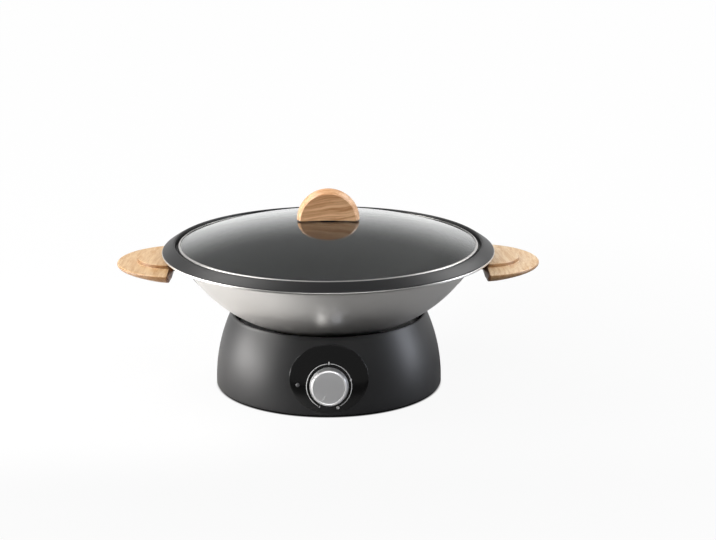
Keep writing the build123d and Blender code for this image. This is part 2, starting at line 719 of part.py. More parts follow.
def make_bowl_liner():
    outer, inner = WALL_R - STEEL_T, WALL_R - STEEL_T - PAN_T
    knee, ledge, crest, edge = steel_top_face()
    seat_in, seat_out = LID_SEAT_R
    return turned(
        (0, WALL_CZ - outer),
        (WALL_CR, WALL_CZ - outer),
        wall_arc(outer, WALL_CR, 159.0),
        knee, ledge, crest, edge,
        (179.6, 148.9),
        ((179.5, 149.4), (178.9, flange_z(178.9))),
        ((173.6, flange_z(173.6) + 0.35), (168.4, flange_z(168.4) + 0.1)),
        ((167.2, CREST_Z), (166.5, 154.2)),
        (seat_out, LID_SEAT_Z),
        (seat_in, LID_SEAT_Z),
        wall_point(inner, PAN_WALL_END),
        (wall_point(inner, 96), wall_point(inner, WALL_CR)),
        (0, WALL_CZ - inner),
    )


def make_diffuser_disc():
    return turned(
        (0, DIFFUSER_Z),
        (DIFFUSER_R - 1.5, DIFFUSER_Z),
        (DIFFUSER_R, DIFFUSER_Z + 1.5),
        wall_point(WALL_R, DIFFUSER_R),
        (wall_point(WALL_R, 46), wall_point(WALL_R, WALL_CR)),
        (0, WALL_CZ - WALL_R),
    )


def bowl_core():
    """Everything inside the steel's outer face, as one solid."""
    return turned(
        (0, WALL_CZ - WALL_R), (WALL_CR, WALL_CZ - WALL_R),
        wall_arc(WALL_R, WALL_CR, STEEL_WALL_END), (0, wall_point(WALL_R, STEEL_WALL_END)[1]),
    )


def handle_space():
    """Everything outward of the handle's inner end, which leans along with the bowl's wall."""
    foot = HANDLE_IN - HANDLE_LEAN
    outline = Plane.XZ * Polygon(
        (foot, 100), (240, 100), (240, 160), (HANDLE_IN, 160),
        (HANDLE_IN, HANDLE_Z + HANDLE_T), (foot, HANDLE_Z), align=None,
    )
    return extrude(outline, 80, both=True)


def make_handle():
    """Right handle: half-moon plate and land, slotted for the bracket's tongue."""
    top = HANDLE_Z + HANDLE_T
    plate = Pos(HANDLE_ARC_X, 0, HANDLE_Z + HANDLE_T / 2) * Cylinder(HANDLE_ARC_R, HANDLE_T)
    plate = fillet(plate.edges().group_by(Axis.Z)[-1], 1.6)
    plate = fillet(plate.edges().group_by(Axis.Z)[0], 2.4)
    land = Pos(HANDLE_IN, 0, top + LAND_H / 2 - 1) * Cylinder(LAND_R, LAND_H + 2)
    land = fillet(land.edges().group_by(Axis.Z)[-1], 0.8)
    handle = (plate + land) & handle_space()
    handle -= block(HANDLE_IN - HANDLE_LEAN - 1, 201, -TONGUE_W / 2 - 0.2, TONGUE_W / 2 + 0.2,
                    TONGUE_Z, TONGUE_Z + TONGUE_T)
    for y in (-HANDLE_SCREW_Y, HANDLE_SCREW_Y):
        handle -= post(HANDLE_SCREW_X, y, HANDLE_Z - 1, top + 1, 2.0)
        handle -= Pos(HANDLE_SCREW_X, y, HANDLE_Z + 1.2) * Cone(4.4, 2.0, 2.4)
    return handle


def make_handle_bracket():
    low, high = TONGUE_Z, TONGUE_Z + TONGUE_T
    tongue = block(150, 200, -TONGUE_W / 2, TONGUE_W / 2, low, high)
    span = 14.0
    pad = turned(
        wall_point(WALL_R, 140.0),
        (wall_point(WALL_R, 147), wall_point(WALL_R, 154.0)),
        wall_point(WALL_R + TONGUE_T, 155.4),
        (wall_point(WALL_R + TONGUE_T, 148), wall_point(WALL_R + TONGUE_T, 141.4)),
        arc=span,
    )
    bracket = Rot(0, 0, -span / 2) * pad + tongue
    bracket -= bowl_core()
    for y in (-HANDLE_SCREW_Y, HANDLE_SCREW_Y):
        bracket -= post(HANDLE_SCREW_X, y, low - 1, high + 1, 2.0)
    return bracket


def make_handle_spacer():
    spacer = block(159.5, HANDLE_IN, -20, 20, HANDLE_Z + 1.5, HANDLE_Z + HANDLE_T + 1.0)
    spacer -= block(150, 180, -TONGUE_W / 2, TONGUE_W / 2, TONGUE_Z, TONGUE_Z + TONGUE_T)
    return spacer - handle_space()


def handle_screw(x, y):
    head = Pos(x, y, HANDLE_Z + 1.25) * Cone(4.1, 2.0, 2.3)
    head -= Pos(x, y, HANDLE_Z) * Box(5.0, 0.9, 1.6)
    head -= Pos(x, y, HANDLE_Z) * Box(0.9, 5.0, 1.6)
    return head + post(x, y, HANDLE_Z + 2.3, HANDLE_Z + HANDLE_T, 2.0)


def both_sides(solid):
    return solid, Rot(0, 0, 180) * solid


# ---------------------------------------------------------------- lid
def dome(radius, r):
    """Height at distance r from the axis of a sphere that shares the glass's centre."""
    return GLASS_TOP - GLASS_SPHERE + math.sqrt(radius**2 - r**2)


def dome_arc(radius, r_from, r_to):
    middle = (r_from + r_to) / 2
    return (middle, dome(radius, middle)), (r_to, dome(radius, r_to))


def make_lid_glass():
    inner = GLASS_SPHERE - GLASS_T
    hole = 4.0
    return turned(
        (hole, dome(inner, hole)),
        dome_arc(inner, hole, GLASS_R),
        (GLASS_R, dome(GLASS_SPHERE, GLASS_R)),
        dome_arc(GLASS_SPHERE, GLASS_R, hole),
    )


def make_lid_band():
    """Thin steel band folded round the glass's edge, with its bends as narrow flats."""
    lip, top = GLASS_SPHERE + 0.05, GLASS_SPHERE + 0.05 + BAND_T
    inner = BAND_R - BAND_T
    return turned(
        (BAND_FOOT_R, LID_SEAT_Z),
        (BAND_R - 0.8, LID_SEAT_Z),
        (BAND_R - 0.23, LID_SEAT_Z + 0.24),
        (BAND_R, LID_SEAT_Z + 0.8),
        (BAND_R, 154.4),
        (BAND_R - 0.5, 155.5),
        (BAND_R - 1.6, dome(top, BAND_R - 1.6)),
        (BAND_LIP_R, dome(top, BAND_LIP_R)),
        (BAND_LIP_R, dome(lip, BAND_LIP_R)),
        (BAND_R - 1.8, dome(lip, BAND_R - 1.8)),
        (BAND_R - 0.8, 155.1),
        (inner, 154.2),
        (inner, LID_SEAT_Z + BAND_T),
        (BAND_FOOT_R, LID_SEAT_Z + BAND_T),
    )


def make_lid_knob():
    """Half disc of wood that stands across the lid, with a crowned edge."""
    centre_z = GLASS_TOP - 0.3
    half = LID_KNOB_T / 2
    profile = outline(
        (0, -half), (LID_KNOB_FACE_R, -half),
        ((LID_KNOB_R, 0), (LID_KNOB_FACE_R, half)), (0, half),
    )
    disc = revolve(profile, axis=Axis.Z)
    disc = Pos(0, 0, centre_z) * Rot(90, 0, 0) * disc
    knob = disc - Pos(0, 0, GLASS_TOP - GLASS_SPHERE) * Sphere(GLASS_SPHERE + 1.0)
    knob = knob & block(-40, 40, -15, 15, GLASS_TOP - 3, GLASS_TOP + 40)
    return knob - post(0, 0, GLASS_TOP, GLASS_TOP + 15, 4.5)


def make_lid_knob_insert():
    return post(0, 0, GLASS_TOP + 1.5, GLASS_TOP + 15, 4.5, hole=2.5)


def make_lid_knob_washer():
    low, high = GLASS_SPHERE, GLASS_SPHERE + 1.0
    return turned(
        (2.6, dome(low, 2.6)), dome_arc(low, 2.6, 10.0),
        (10.0, dome(high, 10.0)), dome_arc(high, 10.0, 2.6),
    )


def make_lid_screw():
    under = GLASS_TOP - GLASS_T - 1.6
    head = post(0, 0, under - 3.0, under, 4.6) - Pos(0, 0, under - 3) * Box(6, 1.1, 2.4)
    return head + post(0, 0, under, GLASS_TOP + 13, 2.45)


def make_lid_screw_washer():
    top = GLASS_SPHERE - GLASS_T
    under = GLASS_TOP - GLASS_T - 1.6
    return turned((2.6, under), (9.0, under), (9.0, dome(top, 9.0)), dome_arc(top, 9.0, 2.6))


# ---------------------------------------------------------------- the nodes
def make_all():
    handle_right, handle_left = both_sides(make_handle())
    bracket_right, bracket_left = both_sides(make_handle_bracket())
    spacers = both_sides(make_handle_spacer())
    screws = []
    for y in (-HANDLE_SCREW_Y, HANDLE_SCREW_Y):
        screws += both_sides(handle_screw(HANDLE_SCREW_X, y))
    return {
        "base_housing": make_housing(),
        "control_panel": make_panel(),
        "dial_markings": make_dial_markings(),
        "indicator_lens": make_indicator_lens(),
        "indicator_lamp": make_indicator_lamp(),
        "bottom_cover": make_bottom_cover(),
        "cover_screws": make_cover_screws(),
        "rubber_feet": make_rubber_feet(),
        "heat_shield": make_heat_shield(),
        "shield_screws": make_shield_screws(),
        "heating_plate": make_heating_plate(),
        "heating_element": make_heating_element(),
        "element_clamp": make_element_clamp(),
        "ceramic_spacers": make_ceramic_spacers(),
        "plate_studs": make_plate_studs(),
        "plate_nuts": make_plate_nuts(),
        "element_insulators": make_element_insulators(),
        "element_terminals": make_element_terminals(),
        "sensor_bulb": make_sensor_bulb(),
        "sensor_clip": make_sensor_clip(),
        "clip_screws": make_clip_screws(),
        "capillary_tube": make_capillary_tube(),
        "thermostat_body": make_thermostat_body(),
        "thermostat_bushing": make_thermostat_bushing(),
        "thermostat_bracket": make_thermostat_bracket(),
        "thermostat_screws": make_thermostat_screws(),
        "thermostat_terminals": make_thermostat_terminals(),
        "thermostat_shaft": make_shaft(),
        "knob_body": make_knob_body(),
        "knob_trim_ring": make_knob_trim_ring(),
        "knob_face": make_knob_face(),
        "knob_pointer": make_knob_pointer(),
        "inlet_socket": make_inlet_socket(),
        "inlet_pins": make_inlet_pins(),
        "inlet_screws": make_inlet_screws(),
        "terminal_block": make_terminal_block(),
        "terminal_screws": make_terminal_screws(),
        "thermal_fuse": make_thermal_fuse(),
        "earth_tag": make_earth_tag(),
        "earth_screw": make_earth_screw(),
        "internal_leads": make_internal_leads(),
        "bowl_shell": make_bowl_shell(),
        "bowl_liner": make_bowl_liner(),
        "diffuser_disc": make_diffuser_disc(),
        "handle_right": handle_right,
        "handle_left": handle_left,
        "handle_bracket_right": bracket_right,
        "handle_bracket_left": bracket_left,
        "handle_spacers": group(spacers),
        "handle_screws": group(screws),
        "lid_glass": make_lid_glass(),
        "lid_band": make_lid_band(),
        "lid_knob": make_lid_knob(),
        "lid_knob_insert": make_lid_knob_insert(),
        "lid_knob_washer": make_lid_knob_washer(),
        "lid_screw": make_lid_screw(),
        "lid_screw_washer": make_lid_screw_washer(),
    }


os.makedirs("parts", exist_ok=True)
for name, shape in make_all().items():
    export_step(Pos(0, 0, FOOT_GAP) * shape, f"parts/{name}.step")
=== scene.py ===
"""Electric wok: a black heated base, a polished steel bowl with wooden handles, a domed glass lid.

Heights in the shape functions are millimetres above the housing's bottom edge, which the feet hold
FOOT_GAP above the table. -Y is the front, where the control knob is.
"""

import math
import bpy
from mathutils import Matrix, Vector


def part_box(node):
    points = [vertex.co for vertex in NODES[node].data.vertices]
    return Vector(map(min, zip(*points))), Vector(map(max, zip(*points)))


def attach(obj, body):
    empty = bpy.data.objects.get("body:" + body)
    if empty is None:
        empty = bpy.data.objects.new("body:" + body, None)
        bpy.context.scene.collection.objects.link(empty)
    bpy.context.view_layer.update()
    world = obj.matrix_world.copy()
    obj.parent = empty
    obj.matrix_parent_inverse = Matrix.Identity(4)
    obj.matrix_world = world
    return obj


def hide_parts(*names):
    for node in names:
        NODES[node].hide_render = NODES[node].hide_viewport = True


bl_info = {
    "name": "Electric wok",
    "version": (1, 0, 0),
    "blender": (4, 5, 0),
    "location": "View3D > Sidebar > Wok",
    "description": "Builds the visible surfaces and finishes of an electric wok",
    "category": "Add Mesh",
}

import bmesh
import bpy
import numpy as np
from bpy.props import FloatProperty, FloatVectorProperty, PointerProperty
from mathutils import Vector

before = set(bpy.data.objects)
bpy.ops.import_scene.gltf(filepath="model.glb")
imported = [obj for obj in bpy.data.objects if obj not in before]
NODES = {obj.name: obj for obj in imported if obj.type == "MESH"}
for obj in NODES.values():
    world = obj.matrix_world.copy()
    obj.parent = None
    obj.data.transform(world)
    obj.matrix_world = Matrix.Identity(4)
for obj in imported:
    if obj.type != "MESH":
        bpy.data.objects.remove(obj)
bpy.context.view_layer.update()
MM = 0.001


# ---------------------------------------------------------------- sizes, in millimetres
# housing: arc of the bell wall, lip, well with its ledge, ribs and rear inlet
FOOT_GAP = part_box("base_housing")[0].z / MM
BASE_ARC, BASE_ARC_Z, BASE_WALL = 180.0, 3.0, 2.8
LIP_Z, LIP_R = 78.6, 105.7
WELL_R, WELL_FOOT_R, WELL_WALL, WELL_ROOF_Z = 104.0, 102.0, 2.4, 72.5
LEDGE_Z, LEDGE_R, LEDGE_T = 60.0, 94.0, 2.5
RIB_COUNT, RIB_IN, RIB_LOW, RIB_T = 24, 99.0, 64.0, 2.0
INLET_Z, INLET_W, INLET_H = 24.0, 28.1, 21.1
FOOT_CIRCLE, FOOT_R = 95.0, 9.0
SHIELD_Z, SHIELD_T = 41.0, 1.0
PLATE_R, PLATE_LOW, PLATE_TOP = 60.0, 50.2, 59.2

# bowl: arc of the wall, steel and pan thickness, crest and edge of the flange, seat of the lid
WALL_CR, WALL_CZ, WALL_R = 32.9, 205.6, 141.35
STEEL_T, PAN_T = 1.0, 2.0
CREST_R, CREST_Z = 167.8, 156.9
FLANGE_EDGE_R, FLANGE_EDGE_Z = 180.0, 149.2
LID_SEAT_Z, LID_SEAT_IN, LID_SEAT_OUT = 151.0, 158.2, 165.3
DIFFUSER_R = 58.0

# lid: glass, steel band and wooden knob
GLASS_R, GLASS_T, GLASS_SPHERE, GLASS_TOP = 161.2, 3.5, 511.5, 181.3
GLASS_HOLE_R = 4.0
BAND_R, BAND_T, BAND_FOOT_R, BAND_LIP_R = 162.6, 0.5, 158.6, 160.3
GRIP_FACE_R, GRIP_R, GRIP_T, GRIP_Z = 30.0, 34.0, 22.0, 181.0

# wooden handles: the half moon's circle and cut, plate, land, and rounding of the upper edge
HANDLE_IN, HANDLE_ARC_X, HANDLE_ARC_R = 170.5, 160.0, 69.5
HANDLE_Z, HANDLE_T, HANDLE_LEAN = 127.9, 8.0, 4.0
LAND_R, LAND_H = 37.0, 4.0
HANDLE_EDGE, LAND_FOOT, LAND_EDGE = 1.8, 0.9, 1.1
UNDERCUT, UNDERCUT_SHARE = 24.0, 0.2

# control panel, dial and knob; angles run clockwise from the top, in degrees
KNOB_Z, PANEL_Z = 31.5, 39.0
PANEL_A, PANEL_B, PANEL_PROUD = 41.5, 36.2, 0.4
KNOB_TOP_R, KNOB_FACE_R, KNOB_GAP, KNOB_H = 18.2, 16.3, 0.8, 12.0
POINTER_ANGLE, POINTER_HALF, POINTER_IN, POINTER_OUT = 207.0, 0.7, 9.4, 14.4
DIAL_R, DIAL_LINE, INK_T = 23.6, 0.7, 0.08
DIAL_ARCS = ((209, 356), (4, 71), (77, 152))
DIAL_DOTS = (  # distance beyond the dial's radius, angle, half width, half height, turn
    (0.6, 0.0, 0.8, 1.75, 0.0), (0.0, 74.0, 0.95, 1.5, 0.0), (0.6, 158.0, 1.7, 1.7, 0.0),
    (0.0, 205.0, 1.25, 0.6, -62.0),
)
LAMP_X, LAMP_Z, LAMP_R = -32.5, 32.0, 2.2

# camera, in metres and degrees
CAMERA_PLACE = (0.0, -1.84959, 0.62554)
CAMERA_PITCH, CAMERA_YAW = 15.113, 0.996
CAMERA_LENS = 88.20

# softboxes: place, aim and size in metres, share of the key light's power, tint
WARM, COOL, PLAIN = (1.0, 0.985, 0.965), (0.87, 0.91, 1.0), (1.0, 1.0, 1.0)
SOFTBOXES = {
    "key": ((-1.25, -0.15, 0.85), (0, 0, 0.1), (0.8, 0.4), 1.0, WARM),
    "key_strip": ((-1.2, -0.14, 0.12), (0, 0, 0.05), (0.8, 0.22), 0.75, WARM),
    "key_low": ((-0.75, 0.10, 0.16), (0, 0, 0.16), (0.3, 0.3), 0.1, WARM),
    "key_high": ((-0.64, 0.32, 1.1), (0, 0, 0.1), (0.5, 0.5), 0.48, WARM),
    "fill": ((1.2, 0.0, 0.33), (0, 0, 0.33), (0.24, 0.62), 0.54, COOL),
    "fill_high": ((0.93, 0.65, 1.1), (0, 0, 0.1), (0.6, 0.6), 0.65, PLAIN),
    "front": ((0.2, -1.1, 1.4), (0, 0, 0.1), (1.6, 0.7), 1.1, PLAIN),
}

# finishes of the CAD nodes that keep their own shape: material, sRGB colour, roughness
MOULDED_NODES = {
    "bottom_cover": ("Glass-filled nylon, black", "#1b1b1c", 0.55),
    "inlet_socket": ("Phenolic inlet, black", "#161617", 0.38),
    "handle_spacers": ("Phenolic spacer, black", "#1a1a1b", 0.45),
    "ceramic_spacers": ("Steatite ceramic", "#e4dfd2", 0.6),
    "element_insulators": ("Steatite ceramic bush", "#e2dccd", 0.6),
    "terminal_block": ("Ceramic terminal block", "#e6e2d8", 0.5),
    "thermostat_body": ("Phenolic thermostat body", "#cfc7ad", 0.5),
    "internal_leads": ("Silicone lead insulation", "#c9c6bd", 0.6),
    "lid_knob_washer": ("Silicone washer", "#3a3a3a", 0.6),
    "lid_screw_washer": ("Silicone screw washer", "#3a3a3a", 0.6),
    "indicator_lamp": ("Neon lamp glass", "#d8b8a4", 0.2),
}
METAL_NODES = {
    "cover_screws": ("Zinc-plated cover screw", "#a9a9ab", 0.35),
    "shield_screws": ("Zinc-plated shield screw", "#a9a9ab", 0.35),
    "plate_studs": ("Steel stud", "#98989a", 0.4),
    "plate_nuts": ("Steel nut", "#a0a0a2", 0.4),
    "clip_screws": ("Steel clip screw", "#a0a0a2", 0.4),
    "heating_element": ("Heat-tinted sheath", "#5a504a", 0.45),
    "element_clamp": ("Stainless clamp plate", "#b4b2af", 0.35),
    "element_terminals": ("Brass terminal", "#c9a862", 0.35),
    "sensor_bulb": ("Copper sensor bulb", "#c78a63", 0.35),
    "sensor_clip": ("Stainless clip", "#b4b2af", 0.35),
    "capillary_tube": ("Copper capillary", "#c78a63", 0.35),
    "thermostat_bushing": ("Brass bushing", "#c9a862", 0.3),
    "thermostat_bracket": ("Stainless bracket", "#b4b2af", 0.35),
    "thermostat_screws": ("Zinc-plated thermostat screw", "#a9a9ab", 0.35),
    "thermostat_terminals": ("Brass thermostat terminal", "#c9a862", 0.35),
    "thermostat_shaft": ("Steel shaft", "#a5a5a7", 0.3),
    "inlet_pins": ("Nickel-plated inlet blade", "#c4c0b6", 0.25),
    "inlet_screws": ("Zinc-plated inlet screw", "#a9a9ab", 0.35),
    "terminal_screws": ("Steel terminal screw", "#a5a5a7", 0.4),
    "thermal_fuse": ("Brass fuse can", "#c9b27a", 0.3),
    "earth_tag": ("Brass earth tag", "#c9a862", 0.35),
    "earth_screw": ("Steel earth screw", "#a5a5a7", 0.4),
    "handle_bracket_right": ("Stainless handle bracket", "#b4b2af", 0.35),
    "handle_bracket_left": ("Stainless handle bracket", "#b4b2af", 0.35),
    "handle_screws": ("Stainless handle screw", "#b9b7b4", 0.3),
    "lid_knob_insert": ("Brass insert", "#c9a862", 0.35),
    "lid_screw": ("Stainless lid screw", "#bcbab7", 0.25),
}


# ---------------------------------------------------------------- what a user would change
def hex_color(code):
    """Linear colour of an sRGB hex code: each channel goes through the sRGB curve."""
    channels = [int(code[i:i + 2], 16) / 255 for i in (1, 3, 5)]
    linear = [c / 12.92 if c <= 0.04045 else ((c + 0.055) / 1.055) ** 2.4 for c in channels]
    return (*linear, 1.0)


def length(name, text, millimetres):
    return FloatProperty(name=name, description=text, default=millimetres * MM, unit="LENGTH")


def color_choice(name, text, code):
    return FloatVectorProperty(name=name, description=text, subtype="COLOR", size=4,
                               default=hex_color(code))


class WokSizes(bpy.types.PropertyGroup):
    base_radius: length("Base radius", "Housing's radius at its bottom edge", 124.0)
    knob_radius: length("Knob radius", "Control knob's radius where it meets the panel", 20.3)
    land_height: length("Land height", "Height of the raised land on the wooden handles", LAND_H)


class WokFinish(bpy.types.PropertyGroup):
    housing: color_choice("Housing", "Colour of the satin black moulding", "#101012")
    steel: color_choice("Steel", "Colour of the polished stainless bowl", "#dad8d5")
    coating: color_choice("Coating", "Colour of the non-stick coat", "#1d1d1e")
    wood: color_choice("Wood", "Colour of the handles between the growth rings", "#fde0ba")
    wood_dark: color_choice("Wood rings", "Colour of the handles' growth rings", "#ddb07b")
    key_power: FloatProperty(
        name="Key light", description="Power of the left softbox, in watts", default=11.0)


def finish():
    return bpy.context.scene.wok_finish


def sizes():
    return bpy.context.scene.wok_sizes


# ---------------------------------------------------------------- profiles and surfaces
def arc(centre_r, centre_z, radius, start, end, steps):
    """Points on a circle: the centre plus radius times (cos, sin) of evenly spaced degrees."""
    a = np.radians(np.linspace(start, end, steps))
    return np.stack([centre_r + radius * np.cos(a), centre_z + radius * np.sin(a)], axis=1)


def rounded(corners, steps=6, closed=True):
    """Outline through corners (r, z, radius). A corner is replaced by the arc that touches both
    of its sides: it starts at radius / tan(half the corner's angle) from the corner."""
    points = np.array([c[:2] for c in corners], float)
    radii = [c[2] if len(c) > 2 else 0.0 for c in corners]
    out = []
    for i, (p, radius) in enumerate(zip(points, radii)):
        if radius <= 0 or (not closed and i in (0, len(points) - 1)):
            out.append(p[None])
            continue
        a = points[i - 1] - p
        b = points[(i + 1) % len(points)] - p
        a, b = a / np.linalg.norm(a), b / np.linalg.norm(b)
        half = math.acos(np.clip(a @ b, -1, 1)) / 2
        centre = p + (a + b) / np.linalg.norm(a + b) * radius / math.sin(half)
        first, last = (p + d * radius / math.tan(half) - centre for d in (a, b))
        turn = np.linspace(0, 1, steps)[:, None]
        mix = first * (1 - turn) + last * turn
        out.append(centre + mix / np.linalg.norm(mix, axis=1)[:, None] * radius)
    return np.concatenate(out)


def grid(points, wrap_rows, wrap_columns):
    """Mesh of a (rows, columns, 3) array: a quad between each four neighbouring points."""
    rows, columns = points.shape[:2]
    i = np.arange(rows if wrap_rows else rows - 1)[:, None]
    j = np.arange(columns if wrap_columns else columns - 1)[None, :]
    i2, j2 = (i + 1) % rows, (j + 1) % columns
    quads = np.stack([i * columns + j, i * columns + j2, i2 * columns + j2, i2 * columns + j], -1)
    return points.reshape(-1, 3), quads.reshape(-1, 4)


def outward(verts, quads):
    """Turns the faces over if the volume that they enclose, a sum of tetrahedra, is below 0."""
    a, b, c, d = (verts[quads[:, k]] for k in range(4))
    volume = (a * np.cross(b, c)).sum() + (a * np.cross(c, d)).sum()
    return (verts, quads[:, ::-1]) if volume < 0 else (verts, quads)


def turned(profile, closed, segments=192):
    """Surface of revolution: a profile point (r, z) goes to (r cos a, r sin a, z)."""
    a = np.linspace(0, 2 * math.pi, segments, endpoint=False)
    r, z = profile[:, 0, None], profile[:, 1, None]
    points = np.stack([r * np.cos(a), r * np.sin(a), z + 0 * a], axis=-1)
    return outward(*grid(points, closed, True))


def level(outline, z):
    """A flat outline as a ring of points at height z."""
    return np.column_stack([outline, np.full(len(outline), z)])


def stacked(rings):
    """Closed skin over rings of equal length: a grid from ring to ring, with each end ring
    drawn in to its own centre."""
    rings = np.asarray(rings, float)
    ends = [np.repeat(ring.mean(0)[None], rings.shape[1], 0) for ring in (rings[0], rings[-1])]
    points = np.concatenate([ends[0][None], rings, ends[1][None]])
    return outward(*grid(points, False, True))


def slab(outline, low, high, edge, steps=4):
    """Plate over a flat outline, with rounded edges: rings move in by edge (1 - sin a) while
    the height goes by edge (1 - cos a), a quarter circle at each face."""
    outline = np.asarray(outline, float)
    inward = outline.mean(0) - outline
    inward /= np.linalg.norm(inward, axis=1)[:, None]
    a = np.linspace(0, math.pi / 2, steps)
    moves = list(zip(edge * (1 - np.sin(a)), edge * (1 - np.cos(a))))
    rings = [(i, low + h) for i, h in moves] + [(i, high - h) for i, h in moves[::-1]]
    return stacked([level(outline + inward * i, z) for i, z in rings])


def placed(part, plane):
    """Local x, y and z of the points run along a plane's three directions from its origin."""
    verts, quads = part
    origin, x_dir, y_dir, z_dir = plane
    moved = origin + verts[:, :1] * x_dir + verts[:, 1:2] * y_dir + verts[:, 2:] * z_dir
    return outward(moved, quads)


def rotated(part, degrees):
    """Turn about Z by the usual cosine and sine."""
    verts, quads = part
    c, s = math.cos(math.radians(degrees)), math.sin(math.radians(degrees))
    x, y, z = verts.T
    return np.stack([c * x - s * y, s * x + c * y, z], axis=1), quads


def to_cut(step, gap):
    """Distance along rays to a straight cut that lies gap (below 0) away, where a ray gets step
    nearer to it per millimetre. Rays that miss the cut get a distance beyond the part."""
    return np.minimum(np.where(step < -1e-6, gap / np.minimum(step, -1e-6), 1e4), 400.0)


def nearer(to_line, to_circle, soft):
    """Smaller of two distances, blended over soft millimetres so that corners are rounded."""
    mix = np.clip(0.5 + 0.5 * (to_line - to_circle) / soft, 0, 1)
    return to_line * (1 - mix) + to_circle * mix - soft * mix * (1 - mix)


def object_of(name, parts, sharp=35.0):
    """Mesh object of one or more (points, quads), in metres, at its true height."""
    starts = np.cumsum([0] + [len(v) for v, _ in parts])
    verts = (np.concatenate([v for v, _ in parts]) + (0, 0, FOOT_GAP)) * MM
    quads = np.concatenate([q + start for (_, q), start in zip(parts, starts)])
    mesh = bpy.data.meshes.new(name)
    mesh.vertices.add(len(verts))
    mesh.vertices.foreach_set("co", verts.ravel())
    mesh.loops.add(quads.size)
    mesh.loops.foreach_set("vertex_index", quads.ravel())
    mesh.polygons.add(len(quads))
    mesh.polygons.foreach_set("loop_start", np.arange(0, quads.size, 4))
    mesh.update(calc_edges=True)
    bm = bmesh.new()
    bm.from_mesh(mesh)
    bmesh.ops.remove_doubles(bm, verts=bm.verts, dist=1e-6)
    bm.to_mesh(mesh)
    bm.free()
    mesh.polygons.foreach_set("use_smooth", np.ones(len(mesh.polygons), bool))
    mesh.set_sharp_from_angle(angle=math.radians(sharp))
    made = bpy.data.objects.new(name, mesh)
    bpy.context.scene.collection.objects.link(made)
    return made


def piece(made, body, slot, material, *nodes):
    """Puts a finished object on its body, in place of its CAD nodes."""
    made.data.materials.clear()
    made.data.materials.append(material)
    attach(made, body)
    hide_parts(*nodes)


# ---------------------------------------------------------------- places on the housing
def wall_r(z, proud=0.0):
    """Radius of the housing's wall at height z: a circle of radius BASE_ARC about a point on the
    other side of the axis."""
    reach = (BASE_ARC + proud) ** 2 - (np.asarray(z) - BASE_ARC_Z) ** 2
    return sizes().base_radius / MM - BASE_ARC + np.sqrt(reach)


def front_plane(z):
    """Plane that touches the housing's front at height z: x right, y up the wall, z outwards."""
    lean = math.asin((z - BASE_ARC_Z) / BASE_ARC)
    out = np.array([0.0, -math.cos(lean), math.sin(lean)])
    up = np.array([0.0, math.sin(lean), math.cos(lean)])
    return np.array([0.0, -float(wall_r(z)), z]), np.array([1.0, 0.0, 0.0]), up, out


def lamp_plane():
    """Plane at the indicator lamp, with its normal pointing straight away from the origin."""
    r = float(wall_r(LAMP_Z))
    y = -math.sqrt(r**2 - LAMP_X**2)
    out = Vector((LAMP_X, y, LAMP_Z)).normalized()
    x_dir = Vector((-y, LAMP_X, 0)).normalized()
    up = out.cross(x_dir)
    return np.array([LAMP_X, y, LAMP_Z]), np.array(x_dir), np.array(up), np.array(out)


def on_wall(part, plane, proud):
    """Lays flat points on the housing's wall: each slides along the plane's normal until its
    distance from the axis is the wall's radius there, and then its own height is added."""
    verts, quads = part
    origin, x_dir, y_dir, z_dir = plane
    flat = origin + verts[:, :1] * x_dir + verts[:, 1:2] * y_dir
    t = np.zeros(len(flat))
    for _ in range(8):
        p = flat + t[:, None] * z_dir
        t += wall_r(p[:, 2], proud) - np.hypot(p[:, 0], p[:, 1])
        t = np.clip(t, -30, 30)
    return outward(flat + (t + verts[:, 2])[:, None] * z_dir, quads)


def clock(radius, degrees):
    """Point on the knob's plane at degrees clockwise from the top."""
    a = np.radians(degrees)
    return np.stack([radius * np.sin(a), radius * np.cos(a)], axis=-1)


# ---------------------------------------------------------------- shader tools
def add(tree, kind, sockets=None, **settings):
    """Adds a node, sets its settings, and sets or links its input sockets."""
    made = tree.nodes.new("ShaderNode" + kind)
    for key, value in settings.items():
        setattr(made, key, value)
    for key, value in (sockets or {}).items():
        if isinstance(value, bpy.types.NodeSocket):
            tree.links.new(value, made.inputs[key])
        else:
            made.inputs[key].default_value = value
    return made


def maths(tree, operation, *values):
    return add(tree, "Math", dict(enumerate(values)), operation=operation).outputs[0]


def vector_maths(tree, operation, *values):
    return add(tree, "VectorMath", dict(enumerate(values)), operation=operation).outputs


def ramp(tree, value, start, end, low=0.0, high=1.0, **settings):
    """Carries start..end to low..high, and holds the ends beyond."""
    return add(tree, "MapRange", {
        "Value": value, "From Min": start, "From Max": end, "To Min": low, "To Max": high,
    }, **settings).outputs["Result"]


def blend(tree, factor, a, b, **settings):
    """Colour that goes from a to b with the factor."""
    return add(tree, "Mix", {"Factor": factor, "A": a, "B": b}, data_type="RGBA",
               **settings).outputs["Result"]


def grain_size(mm):
    """Noise scale whose features are about this many millimetres across."""
    return 1 / (mm * MM)


def noise(tree, place, size_mm, detail, **more):
    return add(tree, "TexNoise", {
        "Vector": place, "Scale": grain_size(size_mm), "Detail": detail, **more,
    }).outputs[0]


def object_coords(tree, scale=(1, 1, 1), turn=(0, 0, 0), centre=(0, 0, 0)):
    """Object coordinates through Mapping nodes that centre, turn and stretch a pattern."""
    place = add(tree, "TexCoord").outputs["Object"]
    moved = add(tree, "Mapping", {"Vector": place, "Location": [-c for c in centre]})
    return add(tree, "Mapping", {
        "Vector": moved.outputs[0], "Rotation": [math.radians(a) for a in turn], "Scale": scale,
    }).outputs[0]


def parts_of(tree, vector):
    return add(tree, "SeparateXYZ", {"Vector": vector}).outputs


def from_axis(tree, place):
    """Distance from the Z axis: the length of (x, y, 0)."""
    flat = vector_maths(tree, "MULTIPLY", place, (1, 1, 0))[0]
    return vector_maths(tree, "LENGTH", flat)["Value"]


